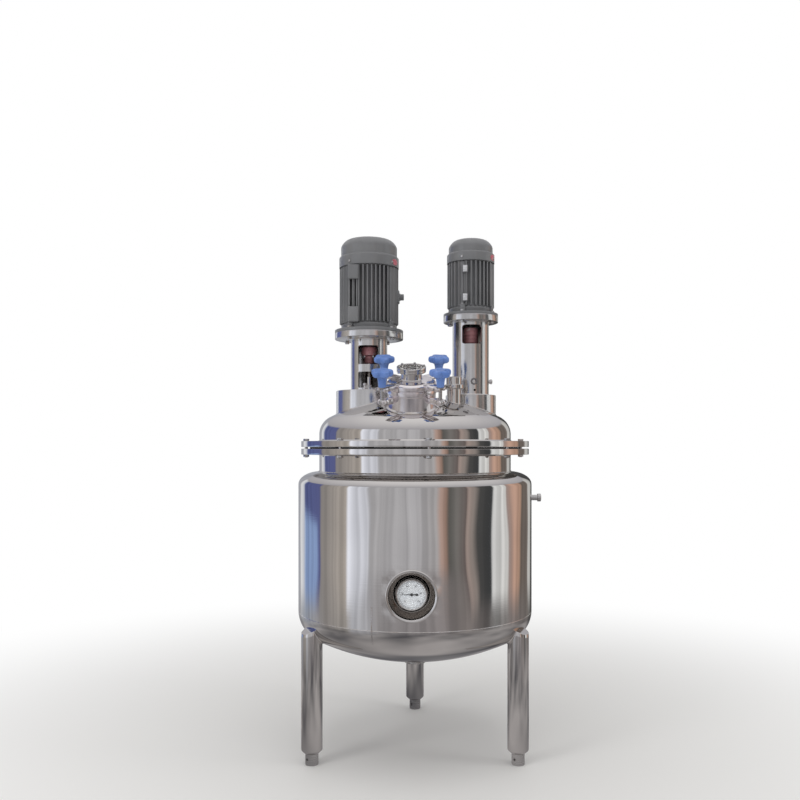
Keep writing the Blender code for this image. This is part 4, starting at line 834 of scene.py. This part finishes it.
for side, x in DRIVES.items():
    sizes = MOTORS[side]
    radius, low, high, twist = sizes["r"], sizes["low"], sizes["high"], sizes["twist"]
    base, plate_r, shaft_r, space_r = (sizes[key] for key in ("base", "plate_r", "shaft_r", "space_r"))
    core = radius * 0.84
    ledge = base + sizes["flange_t"]
    section = [
        (shaft_r, base), (plate_r, base, 0.001), (plate_r, ledge, 0.0016), (radius - 0.01, ledge, 0.003),
        (radius - 0.005, low - 0.005, 0.003), (core + 0.002, low + 0.004, 0.002), (core, low + 0.008),
        (core, high - 0.004), (core, high + 0.0008), (radius - 0.0058, high + 0.0008, 0.0008),
        (radius - 0.0058, high + 0.01), (shaft_r, high + 0.01), (shaft_r, high - 0.014),
        (space_r, high - 0.014), (space_r, low + 0.01), (shaft_r, low + 0.01),
    ]
    shells = [turned(section, 144)]
    mid = (low + high) / 2
    for quarter in range(4):
        for i in range(sizes["fins"]):
            off = (i - (sizes["fins"] - 1) / 2) * sizes["pitch"]
            tip = sqrt(radius**2 - (abs(off) + 0.0012) ** 2)
            root = sqrt(core**2 - off**2) - 0.006
            fin = bmesh.new()
            bmesh.ops.create_cube(fin, size=1.0)
            bmesh.ops.scale(fin, vec=(tip - root, 0.0066, high - low), verts=fin.verts)
            outer = [v for v in fin.verts if v.co.x > 0]
            bmesh.ops.scale(fin, vec=(1.0, 0.8, 0.985), verts=outer)
            softened(fin, [e for e in fin.edges if all(v in outer for v in e.verts)], 0.0017, 3)
            bmesh.ops.translate(fin, vec=((tip + root) / 2, off, mid), verts=fin.verts)
            turn = Matrix.Rotation(quarter * pi / 2 + twist, 3, "Z")
            bmesh.ops.rotate(fin, matrix=turn, verts=fin.verts)
            shells.append(fin)
        turn = pi / 4 + quarter * pi / 2 + twist
        web_in, web_out = core - 0.006, radius * 0.955
        size, middle = (web_out - web_in, 0.014, high - low - 0.004), ((web_in + web_out) / 2, 0.0, mid)
        shells.append(bar(size, middle, turn, 0.003))
        boss_in, boss_out = core - 0.004, radius - 0.001
        middle = ((boss_in + boss_out) / 2, 0.0, (ledge + low) / 2 + 0.004)
        shells.append(bar((boss_out - boss_in, 0.022, low - ledge + 0.008), middle, turn, 0.003))
        shells.append(bar((0.016, 0.018, 0.018), (radius - 0.012, 0.0, high - 0.01), turn, 0.003))
    left_x, right_x, front_y, back_y = sizes["pad"]
    pad_x = (left_x + right_x) / 2
    for pad_low, pad_high in sizes["pads"]:
        size = (right_x - left_x, back_y - front_y, pad_high - pad_low)
        middle = (pad_x, (front_y + back_y) / 2, (pad_low + pad_high) / 2)
        shells.append(bar(size, middle, 0.0, 0.004, 3))
    gap_low, gap_high = sizes["pads"][1][1], sizes["pads"][0][0]
    for i in range(3):
        rib_x = left_x + (right_x - left_x) * (0.12 + 0.36 * i)
        middle = (rib_x, front_y + 0.024, (gap_low + gap_high) / 2)
        shells.append(bar((0.0052, 0.03, gap_high - gap_low + 0.006), middle, 0.0, 0.0016))
    if side == "left":
        shells.append(bar((0.044, 0.05, 0.044), (0.09, 0.0, 1.64), 0.0, 0.004, 3))
        gland = [
            (0.0, 0.105), (0.0135, 0.105), (0.0135, 0.115, 0.001), (0.0115, 0.116),
            (0.0115, 0.1275, 0.0012), (0.007, 0.128), (0.0, 0.127),
        ]
        shells.append(moved(turned(gland, 40, False), at(0.0, 0.0, 1.64) @ LAID_Y))
    fit(f"{side}_motor_frame", shells, enamel, [f"{side}_motor"], spot=at(x))

    bolts = []
    under = LANTERNS[side]["plate"]
    for outer, inner in zip(four_round(sizes["bolts_r"], twist), four_round(radius - 0.006, twist)):
        bolts.append(moved(hexagon(0.0085, ledge + 0.0012, ledge + 0.0075, 0.001), outer))
        bolts.append(moved(washer(0.003, 0.0095, ledge, ledge + 0.0013), outer))
        bolts.append(moved(hexagon(0.0085, under - 0.0075, under, 0.001), outer))
        bolts.append(moved(hexagon(0.0046, low + 0.005, low + 0.01, 0.0006), inner))
    fit(f"{side}_motor_bolts", bolts, machined, spot=at(x))
    if side == "right":
        # Thin pale faces on the right motor's pads: milled metal, and a painted highlight there.
        faces = []
        for pad_low, pad_high in sizes["pads"]:
            middle = (pad_x, front_y - 0.0004, (pad_low + pad_high) / 2)
            faces.append(bar((0.015, 0.001, pad_high - pad_low - 0.005), middle, 0.0, 0.0004))
        fit("motor_pad_highlight_faces", faces, pad_highlight_face, spot=at(x))


# Fan cowls. Pressed sheet hoods over the fans at the top of the motors, painted as the motors are,
# with a turned-out band at the lower edge, four screws, air slots in the top, and a worn spot of red
# paint on each.
spot_red = coloured(
    "red_paint_spot", (0.44, 0.07, 0.1), (0.58, 0.22, 0.26), (160.0, 3.0), (0.3, 0.5), coat=0.1
)
SPOTS = {"left": (63, 1.758), "right": (64, 1.777)}
for side, x in DRIVES.items():
    sizes = MOTORS[side]
    radius, top = sizes["r"], sizes["top"]
    low = sizes["high"] + 0.002
    upper, lip = radius - 0.0055, radius + 0.001
    band = low + sizes["band"]
    skin = [(lip, low), (lip, band - 0.006), (lip - 0.0012, band - 0.0042), (upper, band)]
    skin += [(upper, top - 0.027)]
    for i in range(1, 9):
        turn = i * pi / 16
        soft = 0.0022 * sin(2 * turn)
        skin.append((upper - 0.025 * (1 - cos(turn)) - soft, top - 0.027 + 0.027 * sin(turn) - soft))
    skin.append((0.0, top))
    hood = sheet_grid(skin, 216, 0.004)
    slot_r, slot_half = (0.026 + radius - 0.03) / 2, (radius - 0.056) / 2
    for i in range(12):
        hole_in(hood, spun(i * pi / 6) @ at(slot_r, 0.0, top), 0.01, 0.0042, slot_half)
    hood = [walled(hood, 0.0022)]
    fit(f"{side}_cowl_sheet", hood, enamel, [f"{side}_fan_cowl"], spot=at(x))
    head = [(0.0, -0.001), (0.0052, -0.001), (0.0052, 0.001), (0.004, 0.0028, 0.0008), (0.0, 0.0032)]
    screws = [
        moved(turned(head, 24, False), place @ at(0.0, 0.0, low + 0.012) @ LAID_Y)
        for place in four_round(lip, sizes["twist"])
    ]
    fit(f"{side}_cowl_screws", screws, machined, spot=at(x))
    angle, height = SPOTS[side]
    spot_r = lip if height < band else upper
    spot = at(x) @ spun(radians(angle - 90)) @ at(spot_r, 0.0, height) @ LAID_Y
    disc = turned([(0.0, -0.001), (0.011, -0.001), (0.011, 0.0006, 0.0002), (0.0, 0.0006)], 48, False)
    bmesh.ops.subdivide_edges(disc, edges=disc.edges[:], cuts=2, use_grid_fill=True)
    bmesh.ops.scale(disc, vec=(1.0, 1.7, 1.0), verts=disc.verts)
    for vert in disc.verts:
        vert.co.z -= spot_r - sqrt(spot_r**2 - vert.co.y**2)
    fit(f"{side}_red_spot", [disc], spot_red, spot=spot)


# Hand hole. A short thick neck square to the lid, with a rolled flange at its mouth and four forked
# lugs welded round it for the swing bolts.
satin_neck = steel_finish("satin_neck", (0.92, 0.88, 0.89), (0.8, 0.76, 0.77), (0.11, 0.18), 600.0, 0.0003)
MANWAY_R = 0.082
RIM_W = 0.066
SWING_R = 0.134
PIVOT_W = 0.039
CORNERS = {name: radians(45 + 90 * i) for i, name in enumerate(
    ("rear_right", "rear_left", "front_left", "front_right")
)}
neck_section = [
    (MANWAY_R + 0.004, RIM_W, 0.001), (MANWAY_R + 0.004, RIM_W - 0.0155, 0.001),
    (MANWAY_R, RIM_W - 0.018, 0.0006), (MANWAY_R, -0.022), (0.077, -0.022), (0.077, RIM_W, 0.001),
]
shells = [turned(neck_section, 144)]
for turn in CORNERS.values():
    shells.append(bar((0.036, 0.026, 0.018), (0.098, 0.0, PIVOT_W - 0.0015), turn, 0.002))
    for cheek in (-0.0098, 0.0098):
        shells.append(bar((0.026, 0.0062, 0.0185), (0.121, cheek, PIVOT_W - 0.0005), turn, 0.0008))
        eye = [(0.0, -0.0031), (0.01, -0.0031, 0.0006), (0.01, 0.0031, 0.0006), (0.0, 0.0031)]
        shells.append(moved(turned(eye, 40, False), spun(turn) @ at(SWING_R, cheek, PIVOT_W) @ LAID_X))
    pin = [(0.0, -0.0145), (0.0062, -0.0145, 0.0008), (0.0062, -0.0129), (0.004, -0.0127)]
    pin += [(0.004, 0.0127), (0.0062, 0.0129), (0.0062, 0.0145, 0.0008), (0.0, 0.0145)]
    shells.append(moved(turned(pin, 32, False), spun(turn) @ at(SWING_R, 0.0, PIVOT_W) @ LAID_X))
fit("hand_hole_neck", shells, satin_neck, ["manway_neck"], spot=manway_axis)


# Cover. A heavy turned disc that closes the hand hole, with four slotted ears that the swing bolts
# drop into and a raised ring in the middle for the sight glass.
COVER_T = 0.024
COVER_TOP = RIM_W + 0.0003 + COVER_T
cover_section = [
    (0.03, 0.003), (0.038, 0.003, 0.001), (0.045, 0.0012, 0.002), (0.072, 0.0, 0.003),
    (MANWAY_R, -0.006, 0.003), (MANWAY_R, 0.003 - COVER_T, 0.0008),
    (MANWAY_R - 0.0012, 0.0024 - COVER_T), (MANWAY_R - 0.0012, -COVER_T), (0.03, -COVER_T),
]
shells = [turned(cover_section, 144, base=COVER_TOP)]
ear_low, ear_top = COVER_TOP - 0.013, COVER_TOP - 0.0015
ear_mid, ear_tall = (ear_low + ear_top) / 2, ear_top - ear_low
for turn in CORNERS.values():
    shells.append(bar((0.0745, 0.038, ear_tall), (0.08925, 0.0, ear_mid), turn, 0.0022, 3))
    for prong in (-0.01325, 0.01325):
        shells.append(bar((0.024, 0.0115, ear_tall), (0.128, prong, ear_mid), turn, 0.0022, 3))
fit("hand_hole_cover", shells, satin_neck, ["manway_cover"], spot=manway_axis)


# Sight glass. A short pipe on the cover with two bolted flanges that clamp a thick round glass.
SIGHT_TALL = 0.042
SIGHT_TOP = COVER_TOP + 0.0033 + SIGHT_TALL
sight_section = [
    (0.049, 0.0, 0.001), (0.049, -0.0078, 0.0008), (0.0475, -0.0082), (0.0475, -0.0092),
    (0.049, -0.0096, 0.0008), (0.049, -0.017, 0.001), (0.0365, -0.017), (0.035, -0.019),
    (0.035, 0.003 - SIGHT_TALL), (0.0372, -SIGHT_TALL), (0.03, -SIGHT_TALL), (0.03, -0.01),
    (0.039, -0.01), (0.039, 0.0, 0.0008),
]
sight, node = [turned(sight_section, 120, base=SIGHT_TOP)], "sight_glass_body"
fit("sight_glass_pipe", sight, mirror_steel, [node], spot=manway_axis)
screws = []
for i in range(6):
    place = spun(radians(15 + 60 * i)) @ at(0.044)
    for low, high in ((0.0, 0.004), (-0.0205, -0.017)):
        screws.append(moved(hexagon(0.0042, SIGHT_TOP + low, SIGHT_TOP + high, 0.0006), place))
fit("sight_glass_screws", screws, machined, spot=manway_axis)
lens_section = [(0.0, -0.0097), (0.0387, -0.0097, 0.0006), (0.0387, -0.002, 0.001), (0.0, -0.002)]
lens = [turned(lens_section, 96, False, SIGHT_TOP)]
fit("sight_glass_disc", lens, pane, ["sight_glass_lens"], spot=manway_axis)


# Swing bolts. Four eye bolts on pins between the forked lugs, smooth below and threaded above.
eye_section = [
    (0.0046, -0.006, 0.0006), (0.01, -0.006, 0.0014), (0.01, 0.006, 0.0014), (0.0046, 0.006, 0.0006)
]
for name, turn in CORNERS.items():
    pivot = manway_axis @ spun(turn) @ at(SWING_R, 0.0, PIVOT_W)
    eye = moved(turned(eye_section, 40), pivot @ LAID_X)
    shank = turned([(0.0, 0.008), (0.006, 0.008), (0.006, 0.045), (0.0, 0.045)], 32, False)
    shells = [eye, moved(shank, pivot), moved(threaded(0.006, 0.044, 0.099, 0.0018), pivot)]
    fit(f"eye_bolt_{name}", shells, machined, [f"swing_bolt_{name}"], f"bolt_{name}")


# Star knobs. Moulded blue plastic, five rounded lobes on a tapered hub that bears on the ears of
# the cover through a steel washer.
blue = coloured(
    "blue_moulded_plastic", (0.105, 0.205, 0.525), (0.15, 0.26, 0.6), (18.0, 3.0), (0.3, 0.46),
    bumps=[((350.0, 2.0), 0.00012)],
)
blue.node_tree.nodes["Principled BSDF"].inputs["Specular IOR Level"].default_value = 0.45
LOBES = 5
LOBE_DEPTH = 0.3
HUB_R = 0.014
knob_section = [
    (0.0, 0.1385), (0.0066, 0.1385), (0.0066, 0.0918), (0.0125, 0.0918, 0.0008), (0.013, 0.102),
    (0.0142, 0.112), (0.0162, 0.12), (0.02, 0.1245), (0.026, 0.1268), (0.032, 0.1285),
    (0.0358, 0.1315), (0.037, 0.136), (0.037, 0.14), (0.036, 0.145), (0.0325, 0.148),
    (0.026, 0.1492), (0.018, 0.1497), (0.015, 0.15), (0.012, 0.1496), (0.0105, 0.1486),
    (0.0, 0.1484),
]
for name, turn in CORNERS.items():
    knob = turned(knob_section, 120, False)
    for vert in knob.verts:
        reach = hypot(vert.co.x, vert.co.y)
        lobe = 0.5 + 0.5 * cos(LOBES * atan2(vert.co.y, vert.co.x))
        hollow = LOBE_DEPTH * (1 - lobe) ** 1.5 * max(0.0, (reach - HUB_R) / 0.023) ** 0.8
        vert.co.x *= 1 - hollow
        vert.co.y *= 1 - hollow
    spot = manway_axis @ spun(turn) @ at(SWING_R)
    node, body = f"knob_{name}", f"star_knob_{name}"
    fit(f"blue_knob_{name}", [knob], blue, [node], body, spot, 50)
    ring = washer(0.0066, 0.0135, 0.0892, 0.0917)
    fit(f"knob_washer_{name}", [ring], machined, (), body, spot)


# Clamped port. A short pipe end beside the right drive, closed by a domed cap that a hinged clamp
# ring holds, drawn up by a wing nut on its left.
PORT_TURN = radians(20)
port_rim = crown_z(PORT_X, PORT_Y) + 0.054
port_stand = at(PORT_X, PORT_Y)
ferrule_section = [
    (0.032, 0.0, 0.0006), (0.032, -0.004, 0.0006), (0.0262, -0.0066, 0.001),
    (0.025, -0.009, 0.001), (0.025, -0.072), (0.022, -0.072), (0.022, 0.0),
]
ferrule = [turned(ferrule_section, 72, base=port_rim)]
fit("port_pipe", ferrule, mirror_steel, ["port_ferrule"], spot=port_stand)
cap_section = [
    (0.0, 0.036), (0.025, 0.036, 0.003), (0.028, 0.033, 0.001), (0.028, 0.008, 0.001),
    (0.032, 0.0075, 0.0006), (0.032, 0.0003), (0.0, 0.0003),
]
ring_section = [
    (0.0322, 0.008, 0.001), (0.036, 0.0072, 0.0016), (0.036, -0.0072, 0.0016),
    (0.0324, -0.008, 0.001),
]
stud = turned([(0.0, 0.03), (0.0038, 0.03), (0.0038, 0.05, 0.0006), (0.0, 0.05)], 24, False)
stud_axis = spun(PORT_TURN) @ at(0.0, 0.0, port_rim) @ Matrix.Rotation(-pi / 2, 4, "Y")
shells = [
    turned(cap_section, 72, False, port_rim),
    turned(ring_section, 72, base=port_rim),
    bar((0.008, 0.016, 0.012), (-0.0385, 0.0, port_rim), PORT_TURN, 0.0016),
    moved(stud, stud_axis),
]
fit("port_cap_and_ring", shells, mirror_steel, ["port_clamp"], spot=port_stand)
wing = [bar((0.008, 0.014, 0.0095), (-0.046, 0.0, port_rim), PORT_TURN, 0.0018)]
for hand in (-1, 1):
    blade = bar((0.0035, 0.015, 0.011), (0.0, 0.0, 0.0), 0.0, 0.0015)
    lay = at(-0.048, hand * 0.0125, port_rim) @ spun(hand * 0.35)
    wing.append(moved(blade, spun(PORT_TURN) @ lay))
fit("port_wing_nut", wing, machined, spot=port_stand)


# The studio. A pale floor that fades into a white backdrop, and looks like a darker shop floor in
# the polished steel alone. One big soft lamp stands to the left, one to the right and one above,
# and a level camera with a long lens looks on at the height of the lid.
WHITE = (1.0, 1.0, 1.0)
SOFT = "SMOOTHSTEP"
FLOOR_R = 3.3
PALE_FADE = (0.6, 3.1)
SHOP_FADE = (0.9, 2.6)


def glow(owner, kind, colour, strength=1.0):
    """An even light of one colour, or of a pattern's colours."""
    node = owner.node_tree.nodes.new(kind)
    node.inputs["Strength"].default_value = strength
    feed(owner, node.inputs["Color"], colour)
    return node.outputs[0]


def either(owner, share, first, second):
    """Mix two shaders, or choose between them."""
    node = owner.node_tree.nodes.new("ShaderNodeMixShader")
    for socket, given in zip(node.inputs, (share, first, second)):
        feed(owner, socket, given)
    return node.outputs[0]


floor_mesh = bpy.data.meshes.new("floor")
floor_shell = bmesh.new()
bmesh.ops.create_circle(floor_shell, cap_ends=True, segments=96, radius=FLOOR_R)
floor_shell.to_mesh(floor_mesh)
floor_shell.free()
floor = bpy.data.objects.new("floor", floor_mesh)
bpy.context.scene.collection.objects.link(floor)
floor_finish, floor_shader = new_finish("pale_floor", 0.0)
floor_shader.inputs["Base Color"].default_value = (0.88, 0.87, 0.85, 1.0)
floor_shader.inputs["Roughness"].default_value = 0.6
floor_nodes = floor_finish.node_tree.nodes
floor_far = floor_nodes.new("ShaderNodeVectorMath")
floor_far.operation = "LENGTH"
feed(floor_finish, floor_far.inputs[0], floor_nodes.new("ShaderNodeTexCoord").outputs["Object"])
far = floor_far.outputs["Value"]
fade = ranged(floor_finish, far, 0.0, 1.0, *PALE_FADE, SOFT)
edge = ranged(floor_finish, far, 0.0, 1.0, *SHOP_FADE, SOFT)
floor_white = glow(floor_finish, "ShaderNodeEmission", WHITE)
pale_floor = either(floor_finish, fade, floor_shader.outputs["BSDF"], floor_white)
patch = ranged(floor_finish, grain(floor_finish, 0.9, 2.0), 0.0, 1.0)
shop_tone = blended(floor_finish, patch, (0.09, 0.09, 0.1), (0.46, 0.44, 0.44))
shop_glow = glow(floor_finish, "ShaderNodeEmission", shop_tone)
clear = floor_nodes.new("ShaderNodeBsdfTransparent").outputs["BSDF"]
shop_floor = either(floor_finish, edge, shop_glow, clear)
in_steel = floor_nodes.new("ShaderNodeLightPath").outputs["Is Glossy Ray"]
floor_look = either(floor_finish, in_steel, pale_floor, shop_floor)
feed(floor_finish, floor_nodes["Material Output"].inputs["Surface"], floor_look)
floor_mesh.materials.append(floor_finish)

world = bpy.data.worlds.new("studio")
bpy.context.scene.world = world
world.use_nodes = True
sky_nodes = world.node_tree.nodes
sky_nodes.clear()


def worked(what, first, second):
    """One sum in the world's nodes."""
    node = sky_nodes.new("ShaderNodeMath")
    node.operation = what
    feed(world, node.inputs[0], first)
    feed(world, node.inputs[1], second)
    return node.outputs["Value"]


def ramped(source, stops):
    """Colours along a range, from stops of (place, colour)."""
    node = sky_nodes.new("ShaderNodeValToRGB")
    held = node.color_ramp.elements
    held.remove(held[1])
    for i, (place, colour) in enumerate(stops):
        stop = held[0] if i == 0 else held.new(place)
        stop.position = place
        stop.color = (*colour, 1.0)
    feed(world, node.inputs["Fac"], source)
    return node.outputs["Color"]


# Each panel starts at a turn in degrees, with the colour that the steel sees there.
PANELS = (
    (-180, (0.36, 0.37, 0.4)), (-151, (0.4, 0.41, 0.45)), (-147, (0.95, 0.97, 1.0)),
    (-138, (0.8, 0.84, 0.92)), (-132, (0.12, 0.15, 0.36)), (-105, (0.13, 0.15, 0.34)),
    (-103, (0.38, 0.36, 0.35)), (-67, (0.5, 0.46, 0.42)), (-65, (0.95, 0.99, 1.1)),
    (-45, (0.8, 0.83, 0.92)), (-41, (0.5, 0.5, 0.52)), (0, (0.6, 0.6, 0.63)),
    (21, (0.48, 0.47, 0.48)), (25, (0.52, 0.38, 0.33)), (31, (0.4, 0.27, 0.22)),
    (34, (0.17, 0.17, 0.16)), (41, (0.27, 0.26, 0.25)), (52, (0.15, 0.125, 0.12)),
    (54, (0.42, 0.34, 0.31)), (60, (0.34, 0.3, 0.28)), (63, (0.1, 0.1, 0.1)),
    (76, (0.07, 0.075, 0.08)), (78, (0.84, 0.86, 0.87)), (98, (0.86, 0.87, 0.86)),
    (99, (0.42, 0.34, 0.32)), (108, (0.64, 0.42, 0.33)), (120, (0.54, 0.35, 0.26)),
    (123, (0.19, 0.16, 0.14)), (140, (0.19, 0.165, 0.15)), (143, (0.66, 0.66, 0.64)),
    (154, (0.58, 0.58, 0.56)), (158, (0.07, 0.07, 0.07)),
)
LOW_PANELS = (
    (-180, (0.32, 0.32, 0.34)), (-151, (0.34, 0.34, 0.36)), (-147, (0.52, 0.54, 0.58)),
    (-132, (0.38, 0.42, 0.5)), (-96, (0.38, 0.36, 0.35)), (-66, (0.36, 0.34, 0.32)),
    (-58, (0.62, 0.64, 0.7)), (-44, (0.54, 0.55, 0.59)), (-34, (0.36, 0.35, 0.36)),
    (10, (0.34, 0.32, 0.33)), (48, (0.26, 0.235, 0.23)), (72, (0.15, 0.14, 0.14)),
    (84, (0.28, 0.28, 0.28)), (108, (0.27, 0.24, 0.235)), (140, (0.18, 0.165, 0.155)),
    (152, (0.09, 0.085, 0.08)),
)
BLACK = (0.0, 0.0, 0.0)
BLUE_WALL = (
    (0.0, BLACK), (0.122, BLACK), (0.128, (0.16, 0.24, 0.32)), (0.192, (0.14, 0.22, 0.3)),
    (0.204, BLACK), (1.0, BLACK),
)
PANEL_LIGHT = 0.8
WALL_TOP = (0.3, 0.38)
BLUE_WALL_FOOT = (-0.07, -0.095)
SKIRTING_TOP = (-0.15, -0.205)
sky_parts = sky_nodes.new("ShaderNodeSeparateXYZ")
feed(world, sky_parts.inputs[0], sky_nodes.new("ShaderNodeTexCoord").outputs["Generated"])
rise = sky_parts.outputs["Z"]
round_room = worked("ARCTAN2", sky_parts.outputs["X"], worked("MULTIPLY", sky_parts.outputs["Y"], -1.0))
sky_turn = ranged(world, round_room, 0.0, 1.0, -pi, pi)
walls, low_walls = (
    ramped(
        sky_turn,
        [((turn + 180) / 360, [PANEL_LIGHT * level for level in colour]) for turn, colour in panels],
    )
    for panels in (PANELS, LOW_PANELS)
)
ceiling = ramped(rise, ((0.35, (0.38, 0.375, 0.4)), (1.0, (0.7, 0.69, 0.7))))
blue_low = ranged(world, rise, 0.0, 1.0, *BLUE_WALL_FOOT, SOFT)
tall_room = blended(world, blue_low, walls, ramped(sky_turn, BLUE_WALL), "ADD")
skirting = ranged(world, rise, 0.0, 1.0, *SKIRTING_TOP, SOFT)
low_room = blended(world, skirting, tall_room, low_walls)
streaks = sky_nodes.new("ShaderNodeTexNoise")
streaks.noise_dimensions = "1D"
streaks.inputs["Scale"].default_value = 24.0
streaks.inputs["Detail"].default_value = 3.0
streaks.inputs["Roughness"].default_value = 0.6
feed(world, streaks.inputs["W"], sky_turn)
streak_light = ranged(world, streaks.outputs["Fac"], 0.82, 1.18)
streaked = blended(world, 1.0, low_room, streak_light, "MULTIPLY")
wall_end = ranged(world, rise, 0.0, 1.0, *WALL_TOP, SOFT)
gloss_light = glow(world, "ShaderNodeBackground", blended(world, wall_end, streaked, ceiling), 1.25)
soft_light = glow(world, "ShaderNodeBackground", WHITE, 0.55)
white_back = glow(world, "ShaderNodeBackground", WHITE)
seen = sky_nodes.new("ShaderNodeLightPath").outputs
mirror_mix = either(world, seen["Is Glossy Ray"], soft_light, gloss_light)
straight = worked("MAXIMUM", seen["Is Camera Ray"], seen["Is Transmission Ray"])
sky_look = either(world, straight, mirror_mix, white_back)
feed(world, sky_nodes.new("ShaderNodeOutputWorld").inputs["Surface"], sky_look)


LAMP_AIM = (0.0, 0.0, 0.9)


def soft_lamp(name, spot, wide, tall, power):
    light = bpy.data.lights.new(name, "AREA")
    light.shape = "RECTANGLE"
    light.size = wide
    light.size_y = tall
    light.energy = power
    lamp = bpy.data.objects.new(name, light)
    lamp.visible_glossy = False
    aim = Vector(LAMP_AIM) - Vector(spot)
    lamp.matrix_world = Matrix.Translation(spot) @ aim.to_track_quat("-Z", "Y").to_matrix().to_4x4()
    bpy.context.scene.collection.objects.link(lamp)


soft_lamp("left_lamp", (-3.3, -2.9, 2.2), 1.4, 2.6, 42.0)
soft_lamp("right_lamp", (3.9, -1.2, 1.9), 1.0, 2.4, 22.0)
soft_lamp("top_lamp", (0.0, -0.8, 4.6), 3.0, 3.0, 45.0)

camera_data = bpy.data.cameras.new("camera")
camera_data.sensor_width = 36.0
camera_data.lens = 37.4
camera_data.shift_x = -0.01875
camera_data.shift_y = 0.05875
camera = bpy.data.objects.new("camera", camera_data)
camera.matrix_world = at(TANK_AXIS[0], TANK_AXIS[1] - 3.06, 1.089) @ LAID_X
bpy.context.scene.collection.objects.link(camera)
bpy.context.scene.camera = camera
bpy.context.scene.view_settings.view_transform = "Standard"
